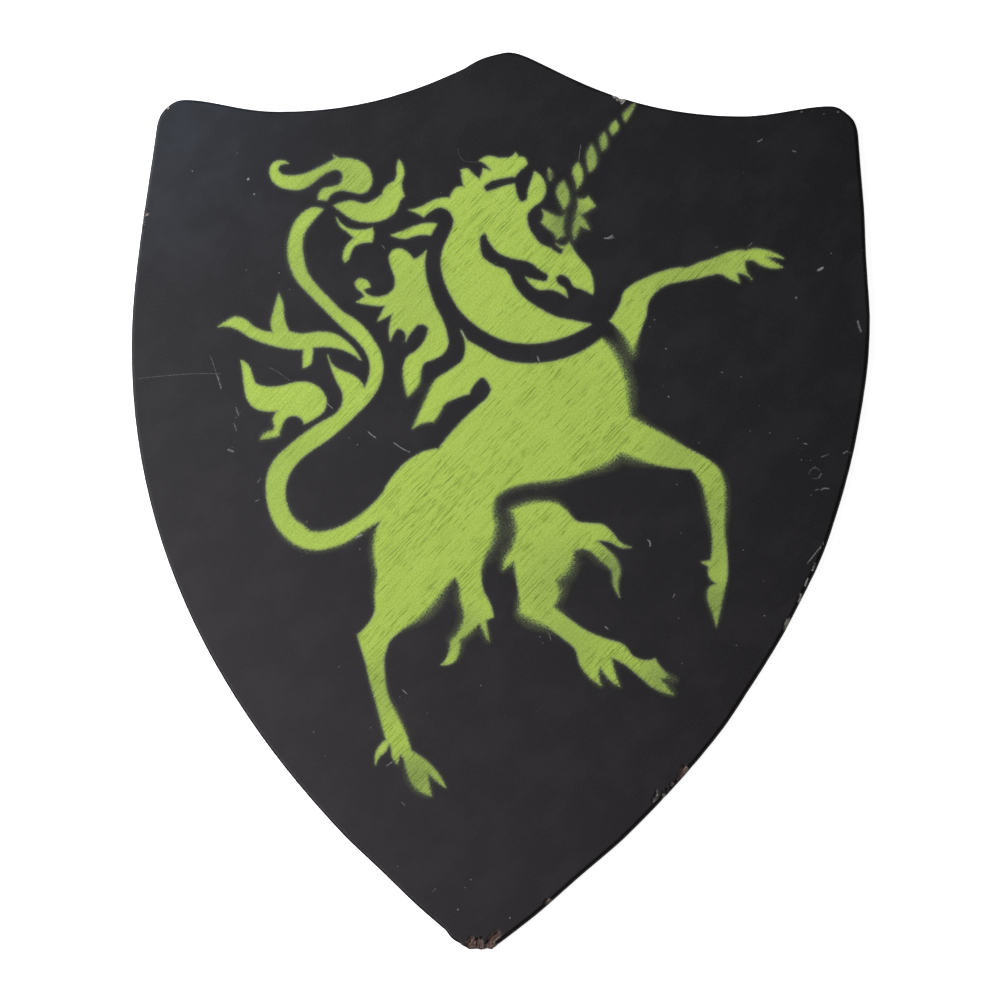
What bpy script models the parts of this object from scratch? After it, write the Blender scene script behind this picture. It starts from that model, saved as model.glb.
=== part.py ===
# Wooden play shield: one flat plywood board cut to a heater outline, lying on its back.
# The frame is +Z out of the painted face and +Y towards the peak of the top edge.
# The origin is under the middle of the board, on the plane that its back lies on.
# Sizes are in metres. "Drop" is the distance down the board from the peak.

import math

import bmesh
import bpy
from mathutils import Matrix, Vector
from mathutils.geometry import interpolate_bezier

# The board.
BOARD_HEIGHT = 0.500  # peak to the broken tip
BOARD_WIDTH = 0.411  # across the widest place
BOARD_THICKNESS = 0.006
FACE_PLY = 0.0014  # thickness of the outer veneer that has torn away at the tip
EDGE_ROUND = 0.0010  # sanding of the rim's two edges
EDGE_STEPS = 2
EDGE_ANGLE = math.radians(60)  # only edges sharper than this are sanded round

# The outline, right half.
PEAK_ROUND = 0.0165  # half the length of the rounded top of the peak
HOLLOW_OFFSET = 0.129  # centreline to the lowest place of the hollow
HOLLOW_DROP = 0.0346
HOLLOW_INNER_SWEEP = 0.076
HOLLOW_OUTER_SWEEP = 0.020
EAR_OFFSET = 0.180  # centreline to the top of the ear
EAR_DROP = 0.0284
EAR_INNER_ROUND = 0.015
EAR_OUTER_ROUND = 0.011
EAR_SIDE_INSET = 0.0098  # how far the ear's side lies inside the widest place
EAR_SIDE_DROP = 0.045
EAR_SIDE_SLOPE = math.radians(5)
EAR_SIDE_UPPER_SWEEP = 0.0073
EAR_SIDE_LOWER_SWEEP = 0.022
WIDEST_DROP = 0.155
WIDEST_UPPER_SWEEP = 0.034
WIDEST_LOWER_SWEEP = 0.149
TIP_LOST = 0.0046  # how much further the whole point reached before it broke
TIP_HALF_ANGLE = math.radians(53)
TIP_SWEEP = 0.147
CORNER_STEPS = 10
SWEEP_STEPS = 18
SIDE_STEPS = 34

# The broken tip, as offsets across and rises above the lowest place.
BREAK_STEPS = (
    (-0.0100, 0.0019),
    (-0.0069, 0.0001),
    (-0.0018, 0.0006),
    (0.0007, 0.0000),
    (0.0041, 0.0009),
    (0.0069, 0.0001),
    (0.0100, 0.0016),
)
BREAK_REACH = 0.030  # half width of the cut below the break

# Veneer splinters torn out above the break: offset across, rise, length and width of each.
TEARS = {
    "left": (-0.0056, 0.0032, 0.0080, 0.0036),
    "middle": (0.0000, 0.0032, 0.0078, 0.0034),
    "right": (0.0062, 0.0050, 0.0110, 0.0040),
}
TEAR_ANGLE = {"left": math.radians(62), "middle": math.radians(84), "right": math.radians(50)}
# The corners of every tear, in lengths along its splinter and widths beside it. The lower end
# is open, and the upper end runs out to a skew point.
TEAR_CORNERS = ((-0.75, -0.45), (-0.75, 0.50), (0.35, 0.50), (0.50, 0.10), (0.42, -0.45))

# Chips knocked out of the rim's front edge: outline stretch, side (right is 1), share along
# that stretch, length along the rim, bite into the face and depth below the face.
CHIPS = {
    "lower_long": ("side", 1, 0.645, 0.0095, 0.0026, 0.0018),
    "lower_middle": ("side", 1, 0.674, 0.0048, 0.0016, 0.0014),
    "lower_short": ("side", 1, 0.697, 0.0070, 0.0022, 0.0014),
    "side_low": ("side", 1, 0.363, 0.0055, 0.0016, 0.0012),
    "side_high": ("side", 1, 0.317, 0.0060, 0.0015, 0.0012),
    "top_by_horn": ("hollow", 1, 0.639, 0.0085, 0.0018, 0.0024),
    "left_upper": ("flank", -1, 0.467, 0.0050, 0.0018, 0.0012),
    "left_lower": ("flank", -1, 0.540, 0.0046, 0.0014, 0.0012),
}
CUT_CLEARANCE = 0.004  # how far a cutter reaches past the surface that it cuts

BLACK_PAINT = (0.018, 0.018, 0.019, 1.0)
PAINT_ROUGHNESS = 0.55


def clear_scene():
    for thing in list(bpy.data.objects):
        bpy.data.objects.remove(thing, do_unlink=True)


def place(across, drop):
    """A point of the face in the board's own frame."""
    return Vector((across, BOARD_HEIGHT / 2 - drop, 0))


def stretches():
    """The right half of the outline as named Bezier stretches, from the peak to the point."""
    half = BOARD_WIDTH / 2
    peak = place(0, 0)
    hollow = place(HOLLOW_OFFSET, HOLLOW_DROP)
    ear = place(EAR_OFFSET, EAR_DROP)
    ear_side = place(half - EAR_SIDE_INSET, EAR_SIDE_DROP)
    widest = place(half, WIDEST_DROP)
    point = place(0, BOARD_HEIGHT + TIP_LOST)
    out = Vector((1, 0, 0))
    down = Vector((0, -1, 0))
    slope = Vector((math.sin(EAR_SIDE_SLOPE), -math.cos(EAR_SIDE_SLOPE), 0))
    to_point = Vector((-math.sin(TIP_HALF_ANGLE), -math.cos(TIP_HALF_ANGLE), 0))
    return {
        "hollow": (
            peak,
            peak + out * PEAK_ROUND,
            hollow - out * HOLLOW_INNER_SWEEP,
            hollow,
            SWEEP_STEPS,
        ),
        "rise": (
            hollow,
            hollow + out * HOLLOW_OUTER_SWEEP,
            ear - out * EAR_INNER_ROUND,
            ear,
            CORNER_STEPS,
        ),
        "ear": (
            ear,
            ear + out * EAR_OUTER_ROUND,
            ear_side - slope * EAR_SIDE_UPPER_SWEEP,
            ear_side,
            CORNER_STEPS,
        ),
        "flank": (
            ear_side,
            ear_side + slope * EAR_SIDE_LOWER_SWEEP,
            widest - down * WIDEST_UPPER_SWEEP,
            widest,
            CORNER_STEPS,
        ),
        "side": (
            widest,
            widest + down * WIDEST_LOWER_SWEEP,
            point - to_point * TIP_SWEEP,
            point,
            SIDE_STEPS,
        ),
    }


def outline():
    """The whole outline, clockwise from the peak, seen from the front."""
    right = [place(0, 0)]
    for start, leave, arrive, end, steps in stretches().values():
        right += interpolate_bezier(start, leave, arrive, end, steps + 1)[1:]
    left = [Vector((-p.x, p.y, 0)) for p in reversed(right[1:-1])]
    return right + left


def on_outline(stretch, side, share):
    """A place on the outline and the direction of the rim there."""
    start, leave, arrive, end, _ = stretches()[stretch]
    rest = 1 - share
    point = (
        start * rest**3
        + leave * 3 * rest**2 * share
        + arrive * 3 * rest * share**2
        + end * share**3
    )
    along = (
        (leave - start) * rest**2
        + (arrive - leave) * 2 * rest * share
        + (end - arrive) * share**2
    ).normalized()
    mirror = Matrix.Diagonal((side, 1, 1))
    return mirror @ point, mirror @ along


def painted_wood():
    material = bpy.data.materials.new("painted_plywood")
    material.use_nodes = True
    shader = material.node_tree.nodes["Principled BSDF"]
    shader.inputs["Base Color"].default_value = BLACK_PAINT
    shader.inputs["Roughness"].default_value = PAINT_ROUGHNESS
    shader.inputs["Metallic"].default_value = 0.0
    return material


def link(name, mesh):
    made = bpy.data.objects.new(name, mesh)
    bpy.context.scene.collection.objects.link(made)
    return made


def prism(name, points, low, high):
    """A closed solid between two heights, from a flat outline."""
    build = bmesh.new()
    face = build.faces.new([build.verts.new((p[0], p[1], low)) for p in points])
    lifted = bmesh.ops.extrude_face_region(build, geom=[face])
    moved = [v for v in lifted["geom"] if isinstance(v, bmesh.types.BMVert)]
    bmesh.ops.translate(build, verts=moved, vec=(0, 0, high - low))
    bmesh.ops.recalc_face_normals(build, faces=build.faces)
    mesh = bpy.data.meshes.new(name)
    build.to_mesh(mesh)
    build.free()
    return link(name, mesh)


def cutter(name, mesh_object, board):
    """Hides a cutter and has the board cut by it."""
    mesh_object.hide_render = True
    mesh_object.display_type = "WIRE"
    cut = board.modifiers.new(name, "BOOLEAN")
    cut.operation = "DIFFERENCE"
    cut.solver = "EXACT"
    cut.object = mesh_object


def break_the_tip(board):
    """Cuts the point off along the stepped line where it broke."""
    lowest = -BOARD_HEIGHT / 2
    below = lowest - TIP_LOST - CUT_CLEARANCE
    first_rise = BREAK_STEPS[0][1]
    last_rise = BREAK_STEPS[-1][1]
    line = [(-BREAK_REACH, lowest + first_rise)]
    line += [(across, lowest + rise) for across, rise in BREAK_STEPS]
    line += [(BREAK_REACH, lowest + last_rise)]
    line += [(BREAK_REACH, below), (-BREAK_REACH, below)]
    tool = prism("tip_break_cutter", line, -CUT_CLEARANCE, BOARD_THICKNESS + CUT_CLEARANCE)
    cutter("broken tip", tool, board)


def tear_the_veneer(board):
    """Cuts the long splinters out of the face veneer above the break."""
    for name, (across, rise, length, width) in TEARS.items():
        angle = TEAR_ANGLE[name]
        along = Vector((math.cos(angle), math.sin(angle)))
        beside = Vector((-along.y, along.x))
        middle = Vector((across, -BOARD_HEIGHT / 2 + rise))
        corners = [
            middle + along * length * lengths + beside * width * widths
            for lengths, widths in TEAR_CORNERS
        ]
        floor = BOARD_THICKNESS - FACE_PLY
        tool = prism(f"tear_{name}_cutter", corners, floor, BOARD_THICKNESS + CUT_CLEARANCE)
        cutter(f"torn veneer {name}", tool, board)


def chip_the_rim(board):
    """Scoops small chips out of the rim's front edge, each along the rim where it lies."""
    for name, (stretch, side, share, length, bite, depth) in CHIPS.items():
        point, along = on_outline(stretch, side, share)
        beside = Vector((0, 0, 1)).cross(along)
        build = bmesh.new()
        bmesh.ops.create_icosphere(build, subdivisions=1, radius=1)
        axes = Matrix((along, beside, Vector((0, 0, 1)))).transposed()
        size = Matrix.Diagonal((length / 2, bite, depth))
        place_it = Matrix.Translation(point + Vector((0, 0, BOARD_THICKNESS)))
        build.transform(place_it @ (axes @ size).to_4x4())
        mesh = bpy.data.meshes.new(f"chip_{name}_cutter")
        build.to_mesh(mesh)
        build.free()
        cutter(f"chip {name}", link(f"chip_{name}_cutter", mesh), board)


def shield_board():
    board = prism("shield_board", outline(), 0, BOARD_THICKNESS)
    board.data.materials.append(painted_wood())
    rounding = board.modifiers.new("sanded edges", "BEVEL")
    rounding.width = EDGE_ROUND
    rounding.segments = EDGE_STEPS
    rounding.limit_method = "ANGLE"
    rounding.angle_limit = EDGE_ANGLE
    break_the_tip(board)
    tear_the_veneer(board)
    chip_the_rim(board)
    return board


clear_scene()
shield_board()
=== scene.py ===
# A wooden play shield, dressed for its photograph: the plywood board with its sawn and sanded
# rim, its broken tip and chips, black brushed paint and a green unicorn sprayed through a stencil.
# Lengths are in metres, or in millimetres where a name ends in Mm.

import math

import bmesh
import bpy
import numpy as np
from mathutils import Matrix, Vector, noise
from mathutils.geometry import delaunay_2d_cdt, interpolate_bezier


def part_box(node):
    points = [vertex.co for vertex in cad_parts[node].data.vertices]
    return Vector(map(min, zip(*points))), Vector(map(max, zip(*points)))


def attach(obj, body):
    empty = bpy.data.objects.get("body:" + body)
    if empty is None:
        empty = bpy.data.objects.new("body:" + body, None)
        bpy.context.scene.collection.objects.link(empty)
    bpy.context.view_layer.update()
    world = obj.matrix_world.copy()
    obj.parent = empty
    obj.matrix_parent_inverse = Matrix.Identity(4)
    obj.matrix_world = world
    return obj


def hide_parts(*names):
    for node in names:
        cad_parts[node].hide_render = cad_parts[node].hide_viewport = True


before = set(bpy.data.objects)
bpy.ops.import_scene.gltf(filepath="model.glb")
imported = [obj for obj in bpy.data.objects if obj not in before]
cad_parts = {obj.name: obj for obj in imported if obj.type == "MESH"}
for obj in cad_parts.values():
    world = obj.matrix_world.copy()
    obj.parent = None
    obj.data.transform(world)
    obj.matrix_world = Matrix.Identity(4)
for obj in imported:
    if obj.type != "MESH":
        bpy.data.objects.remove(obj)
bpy.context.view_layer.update()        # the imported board, at its real size
boardLow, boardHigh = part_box("shield_board")
boardTop = boardHigh.z        # the painted face
boardFoot = boardLow.y        # the broken tip
mm = 0.001

# Places on the board are given on the photograph's own frame of 1000 x 1000 units, where one
# unit is 0.5576 mm of board. The board's axes lean a little there, as the camera saw them.
photoFrame = {
    "unit": 0.5576 * mm,
    "middle": (493.94, 499.5),        # where the middle of the board falls
    "acrossLean": 0.01095,        # radians
    "downLean": 0.03392,
}


def onBoard(x, y):
    right, down = x - photoFrame["middle"][0], y - photoFrame["middle"][1]
    across, downLean = photoFrame["acrossLean"], photoFrame["downLean"]
    square = math.cos(across - downLean)
    u = (right * math.cos(downLean) + down * math.sin(downLean)) / square
    v = (down * math.cos(across) - right * math.sin(across)) / square
    return (u * photoFrame["unit"], -v * photoFrame["unit"])


# The stencil's openings. Each is a closed loop of strokes, and each stroke is one smooth curve
# that starts where the last one ended, so that a corner falls at the end of every stroke.
stencil = {
    "tailCurl": [
        [(284, 163.5), (279.5, 165), (278, 169.5), (281.5, 174), (292, 175.5), (303, 174), (316, 168.5),
         (326, 163.5), (335, 158.5)],
        [(333, 154.8)],
        [(338, 157.2), (349, 158), (359, 160.5), (367, 166), (371.5, 174), (371.5, 184), (368, 190.5),
         (360, 193.5), (350, 191.5), (341, 190.3), (333, 193), (327, 200.5)],
        [(318, 199.5)],
        [(319, 193), (323, 188.5), (332, 186.5), (339, 184), (342.5, 178), (341, 171.5), (335, 169.5),
         (327, 172.5), (318, 178.5), (309, 185.5), (300, 189.3), (289, 189), (277, 184.8), (270.5, 177),
         (269.8, 169), (273, 163), (280, 160.3), (288, 163)],
    ],
    "tailFlame": [
        [(341, 202.5), (351, 200.5), (366, 203.5), (373, 200.5), (382, 194.5)],
        [(384, 189.5), (388.5, 184.5), (394.5, 181)],
        [(397, 174), (397, 167), (399, 159.5)],
        [(403.5, 167.5), (404, 174), (401.5, 183), (402.5, 190), (404.5, 196)],
        [(400, 200.5)],
        [(398, 206), (395, 212), (388, 217.5), (377, 221.5), (364, 222), (352, 219), (343, 213),
         (333.5, 205.5)],
    ],
    "tailThorn": [
        [(341, 223.5), (347.5, 228), (358, 230), (372.5, 228)],
        [(373.5, 235), (371.5, 242)],
        [(362, 243), (355, 246), (351, 252), (349, 258.5), (344.5, 262.5)],
        [(343, 255), (345.5, 247.5), (354.5, 238)],
        [(348, 232.5), (340.5, 226.5), (336.5, 217.5)],
    ],
    "tailRope": [
        [(314, 207.3), (303, 212.5), (295, 222), (289, 237.5), (287.6, 251), (290, 266.5), (297, 281),
         (309, 294.5), (325, 310.5), (345, 330), (358, 341.5), (366, 352), (370, 363), (369.5, 375),
         (364.5, 388.5)],
        [(359, 380), (351, 374.5), (342, 371), (334, 366.5), (328, 355.5)],
        [(331.5, 368), (337, 381.5), (342.5, 393), (342.5, 404), (336, 414), (323, 421.5), (306, 432.5),
         (289, 446), (274.5, 460), (268, 473), (266, 489), (267.5, 503), (272, 518), (280, 531.5),
         (291, 542), (304, 548.5), (318, 550.3), (333, 547.5), (349, 541), (362, 532), (380, 521.5)],
        [(410, 520), (405, 495), (387, 487)],
        [(379, 498), (366, 510.5), (352, 521), (337, 528.5), (322, 532), (310, 531.3), (303, 525)],
        [(295, 519.5), (289, 510), (285.5, 496), (286.5, 483), (292, 470.5), (301, 459.5), (313, 450),
         (328, 440), (343, 427.5), (357, 414), (370, 400.5), (379, 386), (383, 370), (381, 354.5),
         (374, 341), (365, 328.5), (354, 318.8), (343, 312), (330, 299), (317, 285.5), (307.5, 272),
         (303.5, 257), (302.3, 244), (305, 232), (312, 222), (323.5, 209.5)],
    ],
    "tailBird": [
        [(226, 321.5), (235, 317), (245, 319.5), (255, 327.5), (272.5, 332.5)],
        [(270.8, 322), (273.5, 310.5), (278.5, 293.5)],
        [(283, 303.5), (284.3, 318), (289.5, 331.5)],
        [(300, 333.8), (320, 332), (334, 333.8), (347, 342), (361, 360.5)],
        [(348, 352), (335, 348), (313, 348)],
        [(312.5, 356), (311, 363.5), (303, 368)],
        [(303, 359), (303.5, 349.7)],
        [(288, 349), (270, 345), (250, 337.5), (237, 329.5), (229, 326.8), (218, 326.8)],
    ],
    "tailFish": [
        [(248.5, 366), (252.5, 376.5), (255, 383.5)],
        [(265, 387), (280, 386.5), (299, 382.3), (311, 383.5), (321, 390), (326.5, 400.5), (324, 411),
         (316, 418), (304, 424)],
        [(301, 418.5), (293, 416), (286.5, 418.5), (282, 426), (279, 436)],
        [(270, 438), (260.5, 439.5)],
        [(263, 435.5), (274.5, 428.5), (273, 419), (278.5, 411)],
        [(266, 411.3), (255.5, 408.5), (247.5, 400), (244.3, 386), (242.5, 372), (241, 360.5)],
    ],
    "maneStroke": [
        [(402, 231.5), (414, 226.5), (425, 223.5), (437, 224)],
        [(431, 235)],
        [(418, 235), (405, 238.5), (391, 235)],
    ],
    "maneLock": [
        [(425, 260), (425.3, 272), (429.5, 290), (435, 305.5), (442, 319), (447, 334), (448, 345),
         (443, 354), (433, 359.5), (424, 363.5), (420.8, 373), (419, 384), (413.5, 391), (408, 396.5)],
        [(404.5, 383), (403.7, 367.5), (407, 358), (417, 350.5), (424, 342), (428.5, 328)],
        [(419.5, 324.3), (413, 330), (406, 341.5)],
        [(404.3, 331.5), (398, 328.8), (393.5, 334), (390.5, 341)],
        [(389.3, 330), (390.8, 320.5), (392.8, 313.5)],
        [(386, 317.5), (377.5, 321.5)],
        [(381, 314.5), (385.5, 306)],
        [(372, 305.3), (356.5, 302)],
        [(361.5, 299), (364.3, 297)],
        [(362.5, 293), (358, 289.5), (355, 283.5), (358.5, 279), (365, 279.5), (370.5, 287)],
        [(363.3, 289.5)],
        [(368, 295), (378, 297.3), (388, 294.3), (394, 288.5), (395.3, 280), (391.5, 267.5),
         (389.3, 257), (393, 250.5), (401, 248.8), (407.5, 252.5), (413.5, 259.8)],
        [(420, 256.5), (426.5, 250.5)],
    ],
    "head": [
        [(561.3, 254.3), (556.5, 252.5), (550, 248), (542, 245), (534.5, 237), (528, 224.5),
         (527.5, 214), (533, 207), (541.5, 200.5), (546, 190.5), (543.5, 179.5), (535, 171.5)],
        [(531.5, 181), (528.3, 191), (527, 199.5), (522, 202.3), (518, 197.5), (515.8, 190),
         (514.5, 184)],
        [(503, 186.5), (493, 190), (486, 191.3), (484, 187.5), (489, 182), (500, 178.5), (515, 176.5)],
        [(520, 170.5), (527.3, 163), (524.5, 157.8), (519, 157)],
        [(516, 152.5)],
        [(512, 156.5), (501, 158), (488, 156.3), (479.5, 160.5)],
        [(487, 165), (491.3, 170.5)],
        [(483, 168.5)],
        [(482, 174), (479.5, 179)],
        [(473.5, 174.5), (467, 168.8), (461.3, 170)],
        [(462.3, 178), (464.3, 187)],
        [(457, 187.3), (452.5, 192), (450, 198)],
        [(440, 198.3), (431, 201.5), (422, 206.5), (409, 210)],
        [(416, 212.5), (423.5, 217)],
        [(430, 211.5), (440, 207), (449.5, 211), (454, 221), (450.5, 233), (444.5, 246), (441.3, 260),
         (443.5, 277), (450.5, 294.5), (460, 310), (472, 322), (488, 333), (506, 340.8), (524, 343.5),
         (545, 342.3), (565, 337), (591, 324.5)],
        [(572, 320.5), (556, 317), (541, 309.5), (526, 299.5), (514.5, 286), (508, 273), (504, 269)],
        [(492, 264.5), (482.5, 256.5), (480, 246), (480.8, 236), (484.5, 233), (489.5, 241.5),
         (498, 252), (512, 258), (530, 262), (540, 269.5), (548.5, 276.5), (546.5, 281.3),
         (538, 280.7), (526, 277.5)],
        [(531.5, 284.5), (539, 289.6), (550, 289.3), (567.5, 297.5)],
        [(564.8, 289), (557.5, 283.5), (556.3, 277), (562, 274.5), (568.5, 277.5), (574, 286),
         (583, 289.5), (593, 294.5)],
        [(593, 281), (589.5, 270.5), (578.5, 257), (569.3, 241.5)],
        [(565.5, 245.5), (556, 243.5)],
        [(558.5, 246.5), (563.5, 249)],
    ],
    "cheekFleck": [
        [(552.7, 173.5), (550.5, 180.5)],
        [(548.2, 175), (549, 168.5)],
    ],
    "browStar": [
        [(551, 213.5), (559, 216.5), (566, 214.5)],
        [(564, 225), (565.3, 235.5)],
        [(557, 239.5)],
        [(553, 232.5), (547, 228), (541.3, 222)],
        [(543.8, 216.5), (542.5, 210)],
    ],
    "hornTuft": [
        [(583, 199), (588.5, 196.5)],
        [(595.5, 206)],
        [(589, 210.5), (581.3, 215)],
        [(585.5, 220.5), (589.5, 229.5)],
        [(584, 228), (580.5, 227)],
        [(578.5, 232.5), (574.5, 239.5)],
        [(572.3, 232), (574.5, 219), (577.5, 207), (578, 198.5)],
    ],
    "horn1": [
        [(568, 188.5), (570, 197.5), (564, 210.5)],
        [(560, 202), (556.5, 191.5), (559.5, 184), (564, 180.5)],
    ],
    "horn2": [
        [(582.5, 170), (583, 179), (577, 189)],
        [(574.8, 180), (572.7, 171.5), (578.5, 162)],
    ],
    "horn3": [
        [(596, 151.5), (597.5, 160), (596, 166), (589.5, 172)],
        [(587, 162), (586.7, 154), (592, 144)],
    ],
    "horn4": [
        [(608, 139.5), (606.8, 147.5), (602.5, 151)],
        [(600, 143.5), (600, 138), (604.5, 132)],
    ],
    "horn5": [
        [(619, 127.5), (613, 135)],
        [(609.5, 128.5), (612, 123.5), (616, 120)],
    ],
    "horn6": [
        [(632.5, 111.5), (626, 122)],
        [(623, 114.5), (628, 108.5), (636.5, 102)],
    ],
    "farForeleg": [
        [(616.5, 311.5), (621, 302.5), (624, 292.5), (631, 286), (645, 278.5), (661, 272), (678, 267.8),
         (688, 267.5), (697, 263.5), (713, 258.5), (727, 253), (738, 250.5), (746, 250.8), (754, 249),
         (763, 249.8), (783.5, 258.5)],
        [(775, 257.5), (766.5, 257.5)],
        [(773, 261.5), (782.5, 267.5)],
        [(773, 268.3), (762, 265.5), (752, 260.3), (745.5, 261), (745.5, 269), (751.5, 279.5)],
        [(744, 274), (737, 273.5)],
        [(739.5, 283)],
        [(729, 278.5), (720, 274), (710, 275.5), (696, 279), (680, 281.8), (667, 285), (655, 293),
         (648, 304), (646, 316), (641, 329.5), (633, 352)],
        [(626.5, 339.5), (620, 331), (610, 321)],
    ],
    "body": [
        [(611.5, 349.5), (620, 364), (626, 381), (628.5, 401), (630.5, 416.5)],
        [(647, 425.5), (667, 436), (688, 448.5), (706, 458.5), (717.5, 468), (723.5, 481), (725, 503),
         (724.5, 530), (727, 556), (727, 576), (723.5, 594), (719.5, 613), (716, 626.5)],
        [(712, 613), (706.5, 596), (707.5, 589.5), (716, 583.5)],
        [(709, 577), (708.3, 567)],
        [(701, 562)],
        [(710.5, 560)],
        [(712, 543), (707.5, 510), (700, 481), (691, 469.3)],
        [(672, 467.8), (650, 463.5), (634, 457.8), (620.5, 453.3)],
        [(605, 464), (587, 471.5), (566, 478.5), (545, 481.5), (525, 484), (507, 489.5), (496, 498),
         (493.3, 511), (495.5, 527), (491.5, 544), (483.5, 560.5), (481, 574)],
        [(483.5, 590), (491, 606), (493.5, 617)],
        [(486, 620.5)],
        [(489, 641)],
        [(483, 630.5), (479.5, 623.5)],
        [(470, 633), (460, 640.5)],
        [(459, 653), (455, 661), (441.5, 665)],
        [(448, 655), (450, 640.5)],
        [(461, 627), (463.8, 615), (460.5, 599), (458.5, 584), (455, 577.5)],
        [(446.5, 586.5), (436, 600), (420, 617.5), (402, 630), (390.5, 640.5), (385, 655), (385, 674),
         (388.5, 696), (396, 712), (406, 733.5), (411.5, 750.5)],
        [(424, 758.5), (436, 770), (446, 787.5)],
        [(436, 780.5), (428.5, 773.5)],
        [(429.5, 784), (432, 796)],
        [(421, 792), (411.5, 783), (406, 769), (404, 760), (400.5, 754.5)],
        [(397.5, 764)],
        [(393, 758), (391, 747), (389, 743)],
        [(385.5, 751.5), (379, 757.5), (376, 764.5)],
        [(376, 753.5), (380.5, 745), (386.3, 739.5)],
        [(381, 721), (376, 702.5), (370, 682), (365.5, 662), (360, 644), (357.5, 635)],
        [(368, 624.5), (375, 611.5), (374.8, 596), (376.8, 576), (373.8, 552), (375.5, 533),
         (380, 522)],
        [(382, 506), (385, 489)],
        [(395, 474), (409, 460.5), (424, 452), (439, 449)],
        [(446.5, 439), (463, 420.5), (478, 406.5), (488.5, 396.5), (491.5, 389)],
        [(481, 377.8), (475.5, 383), (469, 394)],
        [(456, 398.3), (445.5, 403.5), (438.5, 415), (434, 421.8)],
        [(424, 423), (412.5, 429)],
        [(419.5, 414), (426.5, 398), (436, 380), (451, 369.8), (463, 360), (465.8, 347), (461, 330.5)],
        [(467.5, 341)],
        [(482, 348.8), (500, 359), (518, 363.3), (540, 363.5), (562, 359.5), (585, 350), (602, 338.5)],
    ],
    "otherLeg": [
        [(524, 505), (540, 502), (556, 503.3), (567, 511), (576, 521), (590, 523.5), (603, 525),
         (612, 532.5), (619, 541.5), (631, 547.5)],
        [(620, 547.3), (610, 542), (596.5, 541)],
        [(606, 548), (617, 559.5), (620.8, 571), (618.3, 584), (619.5, 597)],
        [(613, 585), (610.5, 570.5), (602, 562.5), (591, 551.5)],
        [(582, 549), (573.5, 551.5)],
        [(570.5, 566), (556.5, 581)],
        [(559.5, 591), (553.5, 606.5)],
        [(570, 619.3), (588, 631.5), (606, 638.8), (624, 645.3), (633.5, 656.5), (643, 660),
         (655, 658.5)],
        [(664.5, 671), (675, 679)],
        [(661, 678.5)],
        [(673.5, 694.5)],
        [(655, 689), (640, 677), (626, 665), (611, 657.3)],
        [(613.5, 668), (619.5, 686)],
        [(607, 676.5), (600.5, 667)],
        [(598.5, 674), (601, 685)],
        [(587, 674.5), (579.5, 663.5), (575.5, 650), (563, 638.5), (546, 626.5), (532, 620),
         (519.5, 613)],
        [(519, 595), (516.3, 578), (514, 561.5)],
        [(503, 570)],
        [(505, 560), (512.5, 547.5), (516.3, 530), (511.5, 510.5)],
    ],
}

# Where the spray crept under the stencil or bounced, so that the edge is soft: the middle and
# reach of each place, and how wide the edge is there, in mm.
softPlaces = {
    "chest": ((629, 390), 34, 3.6),
    "chestHaze": ((620, 352), 22, 3.4),
    "belly": ((615, 462), 34, 3.4),
    "bellyBack": ((550, 480), 40, 2.2),
    "groin": ((499, 530), 44, 3.2),
    "innerThigh": ((432, 605), 34, 3.4),
    "legBack": ((374, 560), 44, 2.0),
    "shinFront": ((402, 712), 34, 1.5),
    "hoof": ((412, 786), 26, 1.7),
    "farThigh": ((570, 578), 32, 3.6),
    "farShin": ((530, 620), 26, 3.4),
    "farFoot": ((604, 680), 26, 1.5),
    "farHoof": ((672, 684), 14, 1.9),
    "smallFoot": ((470, 640), 24, 2.0),
    "knee": ((722, 500), 40, 2.0),
    "foreHoof": ((715, 600), 34, 1.2),
    "upperArm": ((655, 440), 30, 1.7),
    "farHand": ((748, 262), 34, 1.3),
    "lockEnd": ((430, 410), 26, 1.5),
    "maneEnd": ((412, 385), 22, 1.4),
    "ropeLow": ((300, 545), 40, 1.6),
    "ropeHigh": ((286, 250), 40, 1.3),
    "birdTail": ((230, 322), 20, 1.2),
    "fishTail": ((268, 432), 20, 1.5),
    "browTuft": ((574, 220), 30, 1.5),
    "hornBase": ((575, 185), 26, 1.2),
    "hornMiddle": ((602, 145), 30, 1.2),
}
crispMm = 1.0        # the edge where the stencil lay flat
softestMm = 3.8        # where it stood off most

# Where the spray is thin, so that the black shows through it: place, reach and share.
thinPlaces = {
    "nearShin": ((716, 530), 70, 0.14),
    "nearThigh": ((676, 452), 36, 0.10),
    "foreHoof": ((714, 604), 34, 0.26),
    "hoof": ((416, 776), 34, 0.26),
    "shin": ((380, 690), 44, 0.12),
    "horn": ((602, 148), 46, 0.32),
    "hornLow": ((568, 190), 30, 0.27),
    "hornTip": ((629, 112), 24, 0.26),
    "farHoof": ((662, 682), 34, 0.22),
    "toeEnd": ((672, 678), 10, 0.62),
    "farLeg": ((560, 580), 50, 0.10),
    "farForeleg": ((690, 274), 70, 0.10),
    "smallFoot": ((462, 634), 34, 0.16),
    "otherToes": ((613, 572), 34, 0.33),
    "brow": ((568, 222), 34, 0.36),
    "cheekFleck": ((551, 175), 7, 0.45),
    "farShin": ((560, 640), 50, 0.10),
    "mane": ((415, 300), 60, 0.06),
    "tailCurl": ((340, 180), 70, 0.12),
    "tail": ((296, 290), 90, 0.12),
    "tailLow": ((290, 480), 80, 0.08),
}
leastMarkMm = 0.42        # half width of the finest mark that the mesh carries

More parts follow.
